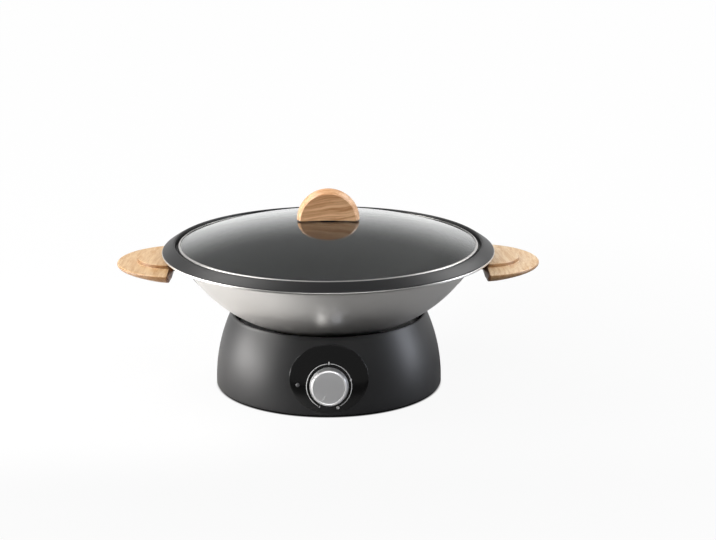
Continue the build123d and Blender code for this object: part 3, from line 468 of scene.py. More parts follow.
def new_material(name, **principled):
    """Material with only its Principled shader, whose sockets take the given values."""
    material = bpy.data.materials.new(name)
    material.use_nodes = True
    tree = material.node_tree
    shader = tree.nodes["Principled BSDF"]
    for key, value in principled.items():
        shader.inputs[key.replace("_", " ")].default_value = value
    return material, tree, shader


def link_bump(tree, shader, height, depth_mm, strength=1.0):
    bump = add(tree, "Bump", {
        "Height": height, "Distance": depth_mm * MM, "Strength": strength,
    })
    tree.links.new(bump.outputs[0], shader.inputs["Normal"])


def vary(tree, shader, socket, factor, low, high):
    """Drives a shader socket between two values or colours by a factor."""
    if isinstance(low, float):
        driven = ramp(tree, factor, 0.0, 1.0, low, high)
    else:
        driven = blend(tree, factor, low, high)
    tree.links.new(driven, shader.inputs[socket])


def shade(color, *factors):
    """A colour times one factor, or times one factor for each of red, green and blue."""
    return (*(c * f for c, f in zip(color[:3], factors * (3 // len(factors)))), 1.0)


# ---------------------------------------------------------------- materials
def moulded(name, color, roughness, grain_mm=0.5, depth_mm=0.02, **more):
    """Injection-moulded plastic: spark-eroded grain breaks up the gloss, and the colour
    drifts a little where the melt flowed."""
    material, tree, shader = new_material(name, Roughness=roughness, **more)
    place = object_coords(tree)
    fine = noise(tree, place, grain_mm, 2.0)
    broad = noise(tree, place, 30, 2.0)
    vary(tree, shader, "Base Color", broad, shade(color, 0.9), shade(color, 1.12))
    vary(tree, shader, "Roughness", fine, roughness - 0.05, roughness + 0.05)
    link_bump(tree, shader, fine, depth_mm, 0.5)
    return material


def spun_metal(name, color, roughness, line_mm=0.35, depth_mm=0.004, streak=1.0, spread=0.05,
               stretch=0.0, centre=(0, 0, 0), turn=(0, 0, 0)):
    """Metal spun or turned on a lathe: fine lines run round the axis, so the pattern follows
    the distance from the axis and the height, and changes only slowly with the angle. The
    lines stretch reflections across themselves, by an anisotropic share."""
    material, tree, shader = new_material(name, Metallic=1.0, Roughness=roughness,
                                          Anisotropic=stretch, Anisotropic_Rotation=0.25)
    if stretch:
        round_axis = add(tree, "Tangent", direction_type="RADIAL", axis="Z")
        tree.links.new(round_axis.outputs[0], shader.inputs["Tangent"])
    place = object_coords(tree, centre=centre, turn=turn)
    x, y, z = parts_of(tree, place)
    slow = maths(tree, "MULTIPLY", maths(tree, "ARCTAN2", y, x), line_mm * MM * streak)
    ringed = add(tree, "CombineXYZ", {"X": from_axis(tree, place), "Y": slow, "Z": z})
    lines = noise(tree, ringed.outputs[0], line_mm, 3.0)
    broad = noise(tree, object_coords(tree), 35, 2.0)
    vary(tree, shader, "Roughness", lines, roughness - spread, roughness + spread)
    vary(tree, shader, "Base Color", broad, shade(color, 0.96), shade(color, 1.03))
    link_bump(tree, shader, lines, depth_mm, 0.6)
    return material


def brushed_sheet(name, color, roughness):
    """Small metal part: fine rolling or machining lines along X."""
    material, tree, shader = new_material(name, Metallic=1.0, Roughness=roughness)
    lines = noise(tree, object_coords(tree, scale=(0.06, 1, 1)), 0.3, 3.0)
    vary(tree, shader, "Roughness", lines, roughness - 0.07, roughness + 0.07)
    vary(tree, shader, "Base Color", lines, shade(color, 0.92), shade(color, 1.04))
    link_bump(tree, shader, lines, 0.01, 0.4)
    return material


def non_stick(name, color):
    """Sprayed non-stick coat on aluminium: satin, with a fine orange peel and pale specks. The
    pan is a little rougher than the flange round it."""
    material, tree, shader = new_material(name, IOR=1.4)
    place = object_coords(tree)
    specks = add(tree, "TexVoronoi", {"Vector": place, "Scale": grain_size(1.1)})
    dots = ramp(tree, specks.outputs["Distance"], 0.06, 0.14, 1.0, 0.0)
    vary(tree, shader, "Base Color", dots, color, shade(color, 2.0))
    rough = ramp(tree, from_axis(tree, place), LID_SEAT_IN * MM, LID_SEAT_OUT * MM, 0.6, 0.4)
    tree.links.new(rough, shader.inputs["Roughness"])
    link_bump(tree, shader, noise(tree, place, 0.7, 3.0), 0.02, 0.2)
    return material


def lacquered_wood(name, light, dark, ring_mm, grain_turn, roughness=0.4, painted_side_shade=1.0,
                   painted_end_shadow_mm=None):
    """Pale hardwood under satin lacquer. In turned object space X runs along the fibres and Z
    across the growth rings: the rings are soft uneven bands, with fine streaks and short open
    pores drawn out along X. Upright faces get painted shade: their colour is multiplied by the
    side factor, a little redder. Those within the end distance of the plane x = 0 are the ends
    next to the bowl, under the flange, and get a darker painted shadow still."""
    material, tree, shader = new_material(name, Coat_Weight=0.2, Coat_Roughness=0.3)
    place = object_coords(tree, turn=grain_turn)
    waves = add(tree, "TexNoise", {"Vector": place, "Scale": grain_size(45), "Detail": 1.0})
    shift = vector_maths(tree, "MULTIPLY", waves.outputs["Color"], (0, 0, 3 * ring_mm * MM))[0]
    bent = vector_maths(tree, "ADD", place, shift)[0]

    def drawn(share):
        """Bent space, drawn out along the fibres."""
        return add(tree, "Mapping", {"Vector": bent, "Scale": (share, 1, 1)}).outputs[0]

    rings = noise(tree, drawn(0.04), ring_mm, 2.0, Roughness=0.5)
    streaks = noise(tree, drawn(0.04), ring_mm / 3, 2.0, Roughness=0.6)
    fibres = noise(tree, drawn(0.05), 0.6, 3.0, Roughness=0.6)
    pores = add(tree, "TexVoronoi", {"Vector": drawn(0.12), "Scale": grain_size(0.9)})
    open_pores = ramp(tree, pores.outputs["Distance"], 0.1, 0.22, 1.0, 0.0)
    bands = maths(tree, "MULTIPLY_ADD", streaks, 0.7, maths(tree, "MULTIPLY", rings, 0.9))
    threads = maths(tree, "MULTIPLY_ADD", fibres, 0.4, bands)
    color = blend(tree, ramp(tree, threads, 0.80, 1.22), light, dark)
    color = blend(tree, maths(tree, "MULTIPLY", open_pores, 0.35), color, shade(dark, 0.5))
    # painted shade: the colour of upright faces, the handle's sides, is multiplied darker and a
    # little redder
    facing = parts_of(tree, add(tree, "TexCoord").outputs["Normal"])
    upright = ramp(tree, facing["Z"], 0.45, 0.9, 1.0, 0.0)
    color = blend(tree, upright, color, (painted_side_shade, painted_side_shade**1.35, painted_side_shade**1.8, 1.0),
                  blend_type="MULTIPLY")
    # painted shadow: upright faces at the end next to the bowl, under the flange, are darkened to
    # dark brown
    if painted_end_shadow_mm:
        out = maths(tree, "ABSOLUTE", parts_of(tree, object_coords(tree))["X"])
        near = ramp(tree, out, painted_end_shadow_mm * MM, (painted_end_shadow_mm + 1) * MM, 1.0, 0.0)
        color = blend(tree, maths(tree, "MULTIPLY", near, upright), color,
                      (0.45, 0.28, 0.13, 1.0), blend_type="MULTIPLY")
    tree.links.new(color, shader.inputs["Base Color"])
    vary(tree, shader, "Roughness", fibres, roughness - 0.06, roughness + 0.08)
    link_bump(tree, shader, maths(tree, "MULTIPLY_ADD", open_pores, -0.6, fibres), 0.04, 0.5)
    return material


def tempered_glass(name):
    """Clear tempered glass: smooth faces, a faint grey-green body and a slight drawn ripple."""
    material, tree, shader = new_material(name, Roughness=0.0, IOR=1.5, Transmission_Weight=1.0,
                                          Base_Color=hex_color("#f1f4f3"))
    link_bump(tree, shader, noise(tree, object_coords(tree), 60, 1.0), 0.02, 0.3)
    return material


def painted_print(name, color):
    """Pad-printed ink: matt, slightly thin in places."""
    material, tree, shader = new_material(name, Roughness=0.55)
    patchy = noise(tree, object_coords(tree), 0.8, 2.0)
    vary(tree, shader, "Base Color", patchy, shade(color, 0.82), color)
    link_bump(tree, shader, patchy, 0.01, 0.3)
    return material


# ---------------------------------------------------------------- base
def housing_profile():
    """Closed section of the housing: bell wall, lip, well wall, ledge and back of the wall."""
    z = np.linspace(1.2, LIP_Z, 40)
    outer = np.stack([wall_r(z), z], axis=1)
    lip = arc(LIP_R - 0.02, LIP_Z - 0.05, 1.66, 8, 172, 12)
    slope = (WELL_R - WELL_FOOT_R) / (LIP_Z - LEDGE_Z)
    back_r = WELL_FOOT_R + WELL_WALL
    well = rounded([
        (WELL_R, LIP_Z), (WELL_FOOT_R, LEDGE_Z, 1.2), (LEDGE_R, LEDGE_Z, 0.5),
        (LEDGE_R, LEDGE_Z - LEDGE_T, 0.5), (back_r - slope * LEDGE_T, LEDGE_Z - LEDGE_T),
        (back_r + slope * (WELL_ROOF_Z - LEDGE_Z), WELL_ROOF_Z),
    ], closed=False)
    z_in = np.linspace(WELL_ROOF_Z, 0.4, 36)
    inner = np.stack([wall_r(z_in, -BASE_WALL), z_in], axis=1)
    foot_r = float(wall_r(0.0))
    foot = np.array([(foot_r - BASE_WALL + 0.4, 0.0), (foot_r - 0.9, 0.0), (foot_r - 0.3, 0.25),
                     (foot_r - 0.03, 0.7)])
    return np.concatenate([outer, lip, well, inner, foot])


def cut(made, cutter_parts):
    """Takes closed shapes out of a mesh with an exact boolean, and keeps the result."""
    cutter = object_of("cutter", cutter_parts)
    step = made.modifiers.new("cut", "BOOLEAN")
    step.operation, step.solver, step.object = "DIFFERENCE", "EXACT", cutter
    graph = bpy.context.evaluated_depsgraph_get()
    result = bpy.data.meshes.new_from_object(made.evaluated_get(graph))
    made.modifiers.clear()
    made.data = result
    bpy.data.objects.remove(cutter)
    result.set_sharp_from_angle(angle=math.radians(35))


def inlet_cutter():
    """Box through the rear wall, as a stack of two rings."""
    w, front, back = INLET_W / 2, 90.0, 132.0
    ring = np.array([(-w, front), (w, front), (w, back), (-w, back)])
    return stacked([level(ring, INLET_Z + side * INLET_H / 2) for side in (-1, 1)])


def rib():
    """Fin on the well's wall: a slab in the plane through the axis, with a sloped head."""
    outline = rounded([
        (RIB_IN, RIB_LOW + 2, 0.6), (RIB_IN + 2.5, RIB_LOW, 0.6), (WELL_R + 0.2, RIB_LOW),
        (WELL_R + 0.2, LIP_Z - 1.4), (RIB_IN + 3.6, LIP_Z - 2.0, 0.8), (RIB_IN, LIP_Z - 7.0, 1.2),
    ], steps=5)
    plane = (np.zeros(3), np.array([1.0, 0, 0]), np.array([0, 0, 1.0]), np.array([0, -1.0, 0]))
    return placed(slab(outline, -RIB_T / 2, RIB_T / 2, 0.35), plane)


class WOK_OT_housing(bpy.types.Operator):
    """Base housing with its well, ribs and rear inlet opening"""

    bl_idname = "wok.housing"
    bl_label = "Housing"

    def execute(self, context):
        black = moulded("Satin black phenolic", finish().housing, 0.43, 0.45, 0.01, IOR=1.55)
        shell = object_of("housing_shell", [turned(housing_profile(), True, 240)])
        cut(shell, [inlet_cutter()])
        piece(shell, "base", "housing", black, "base_housing")
        ribs = [rotated(rib(), i * 360 / RIB_COUNT) for i in range(RIB_COUNT)]
        piece(object_of("well_ribs", ribs), "base", "housing", black, "base_housing")
        return {"FINISHED"}


class WOK_OT_feet(bpy.types.Operator):
    """Four rubber feet"""

    bl_idname = "wok.feet"
    bl_label = "Feet"

    def execute(self, context):
        rubber = moulded("Black rubber", hex_color("#1a1a1a"), 0.75, 0.6, 0.03)
        section = rounded([
            (0, -FOOT_GAP), (FOOT_R - 1, -FOOT_GAP, 0.4), (FOOT_R, 0, 0.4), (FOOT_R, 1.0),
            (0, 1.0),
        ], closed=False)
        verts, quads = turned(section, False, 48)
        feet = [rotated((verts + (FOOT_CIRCLE, 0, 0), quads), a) for a in (45, 135, 225, 315)]
        piece(object_of("feet", feet), "base", "feet", rubber, "rubber_feet")
        return {"FINISHED"}


# ---------------------------------------------------------------- heater under the bowl
class WOK_OT_heater(bpy.types.Operator):
    """Heat shield and heating plate under the bowl"""

    bl_idname = "wok.heater"
    bl_label = "Heater"

    def execute(self, context):
        top, rim_r = SHIELD_Z + SHIELD_T, WELL_R - 2.8
        shield = rounded([
            (0, SHIELD_Z), (73, SHIELD_Z, 3), (91.5, LEDGE_Z, 2), (rim_r, LEDGE_Z, 0.3),
            (rim_r, LEDGE_Z + SHIELD_T, 0.3), (91.0, LEDGE_Z + SHIELD_T, 3), (72.5, top, 2),
            (0, top),
        ], closed=False)
        sheet = spun_metal("Pressed aluminium sheet", hex_color("#b9b9bb"), 0.38, 0.5)
        piece(object_of("shield_pan", [turned(shield, False)]), "base", "shield", sheet,
              "heat_shield")
        grooves = []
        for r in np.arange(52.0, 8.0, -4.0):
            grooves += [(r + 0.5, PLATE_TOP), (r, PLATE_TOP - 0.25), (r - 0.5, PLATE_TOP)]
        plate = rounded([
            (0, PLATE_LOW), (PLATE_R - 1, PLATE_LOW, 0.6), (PLATE_R, PLATE_LOW + 1, 0.6),
            (PLATE_R, PLATE_TOP - 1.5, 0.6), (PLATE_R - 1.5, PLATE_TOP, 0.6), *grooves,
            (0, PLATE_TOP),
        ], closed=False)
        cast = spun_metal("Machined cast aluminium", hex_color("#8d8d90"), 0.42, 0.4, 0.01)
        piece(object_of("hot_plate", [turned(plate, False)]), "base", "hot_plate", cast,
              "heating_plate")
        return {"FINISHED"}


# ---------------------------------------------------------------- control panel
def disc(radius_x, radius_y, low, high, edge=0.15, rings=10, count=96):
    """Oval plate: a rounded upper edge, then rings that shrink from the rim to the middle."""
    a = np.linspace(0, 2 * math.pi, count, endpoint=False)
    t = np.linspace(math.pi / 2, 0, 5)
    moves = zip(edge * (1 - np.sin(t)), high - edge + edge * np.cos(t))
    ovals = [(radius_x, radius_y, low)] + [(radius_x - i, radius_y - i, z) for i, z in moves]
    ovals += [((radius_x - edge) * share, (radius_y - edge) * share, high)
              for share in np.linspace(1, 0, rings)[1:-1]]
    return stacked([level(np.stack([x * np.cos(a), y * np.sin(a)], 1), z) for x, y, z in ovals])


def dial_band(start, end, count=60):
    """Printed arc: points run round the dial between two clock angles, over a flat section."""
    a = np.linspace(start, end, count)
    half = DIAL_LINE / 2
    section = [(-half, 0.0), (-half, INK_T), (half, INK_T), (half, 0.0)]
    points = np.stack([level(clock(DIAL_R + across, a), up) for across, up in section], axis=1)
    ends = [np.repeat(points[k].mean(0)[None, None], 4, axis=1) for k in (0, -1)]
    return outward(*grid(np.concatenate([ends[0], points, ends[1]]), False, True))


def ink_dot(beyond, degrees, radius_x, radius_y, turn):
    """Printed oval of the given half sizes, turned clockwise in degrees."""
    verts, quads = rotated(disc(radius_x, radius_y, 0.0, INK_T, 0.03, 4, 32), -turn)
    return verts + (*clock(DIAL_R + beyond, degrees), 0.0), quads


class WOK_OT_control_panel(bpy.types.Operator):
    """Gloss oval panel, its printed dial and the indicator lens"""

    bl_idname = "wok.control_panel"
    bl_label = "Control panel"

    def execute(self, context):
        gloss = moulded("Gloss black acrylic", hex_color("#040404"), 0.14, 3.0, 0.003, IOR=1.49)
        oval = disc(PANEL_A, PANEL_B, -1.2, 0.0, edge=0.35, rings=28, count=160)
        face = on_wall(oval, front_plane(PANEL_Z), PANEL_PROUD)
        piece(object_of("panel_face", [face]), "base", "panel", gloss, "control_panel")

        ink = painted_print("White pad print", hex_color("#f2f2f2"))
        marks = [dial_band(*arc_ends) for arc_ends in DIAL_ARCS]
        marks += [ink_dot(*dot) for dot in DIAL_DOTS]
        laid = [on_wall(mark, front_plane(KNOB_Z), PANEL_PROUD) for mark in marks]
        piece(object_of("dial_print", laid), "base", "print", ink, "dial_markings")

        smoked = moulded("Smoked polycarbonate", hex_color("#565658"), 0.35, 2.0, 0.003)
        cap = arc(0, 0.45, LAMP_R, 0, 90, 10)
        section = np.concatenate([[(0.0, -2.0), (LAMP_R, -2.0)], cap])
        lens = placed(turned(section, False, 48), lamp_plane())
        piece(object_of("lamp_lens", [lens]), "base", "lens", smoked, "indicator_lens")
        return {"FINISHED"}


# ---------------------------------------------------------------- control knob
class WOK_OT_knob(bpy.types.Operator):
    """Silver control knob: conical body, bright ring, spun face and raised pointer"""

    bl_idname = "wok.knob"
    bl_label = "Control knob"

    def execute(self, context):
        plane = front_plane(KNOB_Z)
        radius = sizes().knob_radius / MM
        lean = math.degrees(math.asin((KNOB_Z - BASE_ARC_Z) / BASE_ARC))
        axis = {"centre": (0.0, plane[0][1] * MM, (KNOB_Z + FOOT_GAP) * MM),
                "turn": (-90 + lean, 0, 0)}
        ring_low = KNOB_H - 1.2
        body = rounded([
            (0, KNOB_GAP), (radius, KNOB_GAP, 0.3), (radius, KNOB_GAP + 1.2, 0.5),
            (KNOB_TOP_R + 0.3, ring_low, 0.3), (KNOB_TOP_R - 0.6, ring_low), (0, ring_low),
        ], closed=False)
        silver = spun_metal("Metallised ABS, silver", hex_color("#f0f0f1"), 0.42, 0.6, 0.003,
                            **axis)
        piece(object_of("dial_body", [placed(turned(body, False, 144), plane)]), "knob", "knob",
              silver, "knob_body")

        ring = rounded([
            (KNOB_FACE_R, ring_low), (KNOB_TOP_R + 0.1, ring_low, 0.2),
            (KNOB_TOP_R, KNOB_H - 0.7, 0.5), (KNOB_FACE_R + 0.7, KNOB_H, 0.3),
            (KNOB_FACE_R, KNOB_H - 0.35, 0.1),
        ])
        bright = moulded("Bright silver lacquer", hex_color("#f6f6f6"), 0.32, 0.5, 0.002,
                         Metallic=0.5)
        piece(object_of("dial_ring", [placed(turned(ring, True, 144), plane)]), "knob",
              "knob_trim", bright, "knob_trim_ring")

        face_r, face_z = KNOB_FACE_R - 0.03, KNOB_H - 0.5
        face = rounded([(0, ring_low), (face_r, ring_low), (face_r, face_z, 0.2), (0, face_z)],
                       closed=False)
        brushed = spun_metal("Spun aluminium face", hex_color("#f0f0f1"), 0.42, 0.35, 0.012,
                             streak=6.0, spread=0.09, **axis)
        piece(object_of("dial_face", [placed(turned(face, False, 144), plane)]), "knob",
              "knob_face", brushed, "knob_face")

        w = POINTER_HALF
        strip = rounded([(-w, POINTER_IN, 0.6), (w, POINTER_IN, 0.6), (w, POINTER_OUT, 0.6),
                         (-w, POINTER_OUT, 0.6)])
        pointer = rotated(slab(strip, KNOB_H - 0.9, KNOB_H - 0.38, 0.1), -POINTER_ANGLE)
        pale = painted_print("Pointer ink, white", hex_color("#f4f4f4"))
        piece(object_of("dial_pointer", [placed(pointer, plane)]), "knob", "pointer", pale,
              "knob_pointer")
        return {"FINISHED"}


# ---------------------------------------------------------------- bowl
def bowl_wall(radius, r_low, r_high, steps):
    """Points of a wall arc of this radius about (WALL_CR, WALL_CZ), between two distances from
    the axis: the lower half of the circle."""
    angles = [-math.degrees(math.acos((r - WALL_CR) / radius)) for r in (r_low, r_high)]
    return arc(WALL_CR, WALL_CZ, radius, *angles, steps)


def on_flange(r, above, *radius):
    """Corner at distance r from the axis and above the flange's sloping top, for rounded."""
    slope = (CREST_Z - FLANGE_EDGE_Z) / (FLANGE_EDGE_R - CREST_R)
    return (r, CREST_Z - slope * (r - CREST_R) + above, *radius)


class WOK_OT_bowl(bpy.types.Operator):
    """Polished steel bowl, non-stick pan with its flange, and the disc under the bowl"""

    bl_idname = "wok.bowl"
    bl_label = "Bowl"

    def execute(self, context):
        # the steel's upper face from the wall out to the rim, where the pan lies on it
        seam = [(161.2, 147.4, 0.5), (167.0, 148.9, 0.5), on_flange(169.2, -2.2, 0.5),
                on_flange(179.4, -2.2)]
        inner, floor = WALL_R - STEEL_T, WALL_CZ - WALL_R
        rolled = rounded([
            (161.8, 146.5, 1.0), (167.7, 147.9, 1.0), on_flange(169.7, -3.3, 1.0),
            on_flange(179.3, -3.3, 0.6), (180.2, 146.7, 0.7), (180.2, 148.7, 0.5),
            (179.5, 148.95, 0.2), *seam[::-1],
        ], closed=False)
        shell = np.concatenate([
            [(0.0, floor)], bowl_wall(WALL_R, WALL_CR, 159.6, 72), rolled,
            bowl_wall(inner, 159.0, WALL_CR, 60), [(0.0, floor + STEEL_T)],
        ])
        steel = spun_metal("Satin stainless steel", finish().steel, 0.36, 0.5, 0.003,
                           streak=2.0, spread=0.04, stretch=0.45)
        piece(object_of("bowl_outer", [turned(shell, False, 288)]), "bowl", "bowl_steel", steel,
              "bowl_shell")

        flange = rounded([
            *seam, (179.75, 149.0, 0.3), on_flange(179.0, 0.05, 0.6), on_flange(176.0, 0.3),
            on_flange(172.5, 0.38), on_flange(169.5, 0.28), (CREST_R - 0.3, CREST_Z + 0.18, 1.0),
            (166.3, CREST_Z - 0.6, 0.8), (LID_SEAT_OUT, LID_SEAT_Z, 0.8),
            (LID_SEAT_IN, LID_SEAT_Z, 0.8),
        ], closed=False)
        liner = np.concatenate([
            [(0.0, floor + STEEL_T)], bowl_wall(inner, WALL_CR, 159.0, 60), flange,
            bowl_wall(inner - PAN_T, 157.9, WALL_CR, 72), [(0.0, floor + STEEL_T + PAN_T)],
        ])
        coat = non_stick("Non-stick coat on aluminium", finish().coating)
        piece(object_of("pan_and_flange", [turned(liner, False, 288)]), "bowl", "non_stick", coat,
              "bowl_liner")

        under = np.concatenate([
            rounded([(0, PLATE_TOP), (DIFFUSER_R - 1.5, PLATE_TOP, 0.5),
                     (DIFFUSER_R, PLATE_TOP + 1.5, 0.5), (DIFFUSER_R, PLATE_TOP + 6.0)],
                    closed=False),
            bowl_wall(WALL_R, DIFFUSER_R, WALL_CR, 12), [(0.0, floor)],
        ])
        aluminium = spun_metal("Machined aluminium disc", hex_color("#b0b0b2"), 0.32, 0.4, 0.01)
        piece(object_of("bowl_foot", [turned(under, False)]), "bowl", "diffuser", aluminium,
              "diffuser_disc")
        return {"FINISHED"}


# ---------------------------------------------------------------- wooden handles
def half_moon(circle_x, radius, cut_x, z, count=360):
    """Ring at height z round a circle cut off at x = cut_x, seen from a point inside it: along
    each ray the nearer of the circle and the cut."""
    centre = np.array([cut_x + 14.0, 0.0])
    a = np.linspace(0, 2 * math.pi, count, endpoint=False)
    ray = np.stack([np.cos(a), np.sin(a)], axis=1)
    offset = centre - (circle_x, 0.0)
    along = ray @ offset
    to_circle = -along + np.sqrt(along**2 + radius**2 - offset @ offset)
    reach = nearer(to_cut(ray[:, 0], cut_x - centre[0]), to_circle, 1.6)
    return level(centre + reach[:, None] * ray, z)


def drawn_in(ring, shares):
    """Copies of a ring that shrink towards its middle, to close a flat face."""
    middle = ring.mean(0)
    return [middle + (ring - middle) * share for share in shares]


def handle_part():
    """Right handle: rings of the half-moon outline. The underside rises to the edge along a
    quarter ellipse, 5 mm wide next to the bowl and 24 mm wide at the tip, and the inner end
    leans in towards the bowl at its foot. The rings then shrink at the upper edge, run in to
    the land's outline, rise along it and close over its top."""
    top = HANDLE_Z + HANDLE_T
    land_top = top + sizes().land_height / MM

    def plate_ring(inset, z):
        return half_moon(HANDLE_ARC_X, HANDLE_ARC_R - inset, HANDLE_IN + inset * 0.1, z)

    def land_ring(inset, z):
        return half_moon(HANDLE_IN, LAND_R - inset, HANDLE_IN + 0.4 + inset * 0.3, z)

    def leaned(ring):
        near = np.clip(1 - (ring[:, 0] - HANDLE_IN) / 8.0, 0, 1)
        down = np.clip((top - ring[:, 2]) / HANDLE_T, 0, 1)
        return ring - np.outer(HANDLE_LEAN * near * down, (1, 0, 0))

    quarter = np.linspace(0, math.pi / 2, 10)
    curve = [(1 - math.sin(a), 1 - math.cos(a)) for a in quarter]
    outline, drawn = plate_ring(0, 0), plate_ring(UNDERCUT, 0)
    out = (outline[:, :1] - HANDLE_IN) / (HANDLE_ARC_X + HANDLE_ARC_R - HANDLE_IN)
    share = UNDERCUT_SHARE + (1 - UNDERCUT_SHARE) * np.clip(out, 0, 1)
    rings = [outline + (drawn - outline) * share * inset
             + (0, 0, HANDLE_Z + (HANDLE_T - HANDLE_EDGE) * rise) for inset, rise in curve]
    rings += [plate_ring(HANDLE_EDGE * inset, top - HANDLE_EDGE * fall)
              for inset, fall in curve[-2::-1]]
    rings = [leaned(ring) for ring in rings]
    rings = drawn_in(rings[0], (0.3, 0.6, 0.85)) + rings
    edge, foot = rings[-1], land_ring(-LAND_FOOT, top)
    rings += [edge * (1 - t) + foot * t for t in np.linspace(0, 1, 8)[1:]]
    rings += [land_ring(-LAND_FOOT * inset, top + LAND_FOOT * rise) for inset, rise in curve[1:]]
    rings += [land_ring(LAND_EDGE * (1 - math.cos(a)), land_top - LAND_EDGE * (1 - math.sin(a)))
              for a in quarter]
    return stacked(rings + drawn_in(rings[-1], (0.8, 0.5, 0.2)))


class WOK_OT_handles(bpy.types.Operator):
    """Two half-moon wooden handles, each with a raised land next to the bowl"""

    bl_idname = "wok.handles"
    bl_label = "Handles"

    def execute(self, context):
        sides = (("right", 0, -96.0, (1.0, 1.0, 1.0)), ("left", 180, -84.0, (0.8, 0.74, 0.64)))
        for side, degrees, lean, tint in sides:
            # painted shade on the handles' sides and painted shadow on their ends next to the bowl
            wood = lacquered_wood(f"Lacquered ash, {side}", shade(finish().wood, *tint),
                                  shade(finish().wood_dark, *tint), 3.4, (0, 62, lean),
                                  painted_side_shade=0.5, painted_end_shadow_mm=HANDLE_IN)
            made = object_of(f"grip_{side}", [rotated(handle_part(), degrees)], sharp=50)
            piece(made, "bowl", "handle_wood", wood, f"handle_{side}")
        return {"FINISHED"}


# ---------------------------------------------------------------- lid
def dome(radius, r):
    """Height at distance r of a sphere that shares the glass's centre."""
    return GLASS_TOP - GLASS_SPHERE + np.sqrt(radius**2 - np.asarray(r, float) ** 2)


def grip_part():
    """Wooden half disc across the lid: seen along Y, each ring is a circle cut off by the
    curve that follows the glass, and its radius bulges from the faces to the middle."""
    a = np.linspace(0, 2 * math.pi, 240, endpoint=False)
    ray_x, ray_z = np.cos(a), np.sin(a)
    half, offset, seat = GRIP_T / 2, 12.0, GLASS_SPHERE + 1.0
    middle = GRIP_Z + offset
    face = [(half, share) for share in (0.8, 0.5, 0.2)]
    rows = [(-y, share) for y, share in face[::-1]]
    rows += [(y, 1.0) for y in np.linspace(-half, half, 29)] + face
    rings = []
    for y, share in rows:
        full = GRIP_FACE_R + (GRIP_R - GRIP_FACE_R) * (1 - (y / half) ** 2)
        to_circle = -ray_z * offset + np.sqrt(full**2 - (offset * ray_x) ** 2)
        floor = dome(seat, math.hypot(y, 20.0))
        reach = nearer(to_cut(ray_z, floor - middle), to_circle, share + 0.01) * share
        x, z = reach * ray_x, middle + reach * ray_z
        lift = dome(seat, np.hypot(x, y)) - floor
        z = z + np.where(ray_z < 0, lift * np.clip((middle - z) / (middle - floor), 0, 1), 0)
        rings.append(np.stack([x, np.full(len(a), y), z], axis=1))
    return stacked(rings)


class WOK_OT_lid(bpy.types.Operator):
    """Domed glass, its steel band and the wooden knob"""

    bl_idname = "wok.lid"
    bl_label = "Lid"

    def execute(self, context):
        inner = GLASS_SPHERE - GLASS_T
        r = np.linspace(GLASS_HOLE_R, GLASS_R - 0.6, 60)
        under = np.stack([r, dome(inner, r)], axis=1)
        over = np.stack([r, dome(GLASS_SPHERE, r)], axis=1)[::-1]
        rim_z = float(dome(inner, GLASS_R))
        rim = np.array([(GLASS_R, rim_z + 0.7), (GLASS_R, rim_z + GLASS_T - 0.9)])
        section = np.concatenate([under, rim, over])
        glass = tempered_glass("Tempered glass")
        piece(object_of("lid_dome", [turned(section, True, 288)]), "lid", "glass", glass,
              "lid_glass")

        lip, inside = GLASS_SPHERE + 0.05, BAND_R - BAND_T
        band = rounded([
            (BAND_FOOT_R, LID_SEAT_Z, 0.15), (BAND_R, LID_SEAT_Z, 0.8),
            (BAND_R, dome(lip + BAND_T, BAND_R) - 0.1, 1.1),
            (BAND_LIP_R, dome(lip + BAND_T, BAND_LIP_R), 0.15),
            (BAND_LIP_R, dome(lip, BAND_LIP_R), 0.1), (inside, dome(lip, inside) - 0.1, 0.7),
            (inside, LID_SEAT_Z + BAND_T, 0.4), (BAND_FOOT_R, LID_SEAT_Z + BAND_T, 0.15),
        ])
        steel = spun_metal("Rolled stainless band", hex_color("#dddbd8"), 0.32, 0.5, 0.002)
        piece(object_of("lid_ring", [turned(band, True, 288)]), "lid", "lid_steel", steel,
              "lid_band")

        wood = lacquered_wood("Lacquered ash, knob", hex_color("#ffcf9f"), hex_color("#d09261"),
                              4.0, (0, 8, 0))
        piece(object_of("lid_grip", [grip_part()], sharp=30), "lid", "knob_wood", wood, "lid_knob")
        return {"FINISHED"}


# ---------------------------------------------------------------- CAD nodes that keep their shape
class WOK_OT_inner_parts(bpy.types.Operator):
    """Finishes of the screws, terminals, brackets and other parts that keep their CAD shape"""

    bl_idname = "wok.inner_parts"
    bl_label = "Inner parts"

    def execute(self, context):
        for build, nodes in ((moulded, MOULDED_NODES), (brushed_sheet, METAL_NODES)):
            for node, (name, code, roughness) in nodes.items():
                material = build(name, hex_color(code), roughness)
                for held in NODES[node].material_slots:
                    held.material = material
        return {"FINISHED"}


# ---------------------------------------------------------------- stage
def softbox(name, place, aim, size, power, color):
    """Rectangular area light that faces a point."""
    lamp = bpy.data.lights.new(name, "AREA")
    lamp.shape = "RECTANGLE"
    lamp.size, lamp.size_y = size
    lamp.energy = power
    lamp.color = color
    made = bpy.data.objects.new(name, lamp)
    made.location = place
    away = Vector(place) - Vector(aim)
    made.rotation_euler = away.to_track_quat("Z", "Y").to_euler()
    bpy.context.scene.collection.objects.link(made)


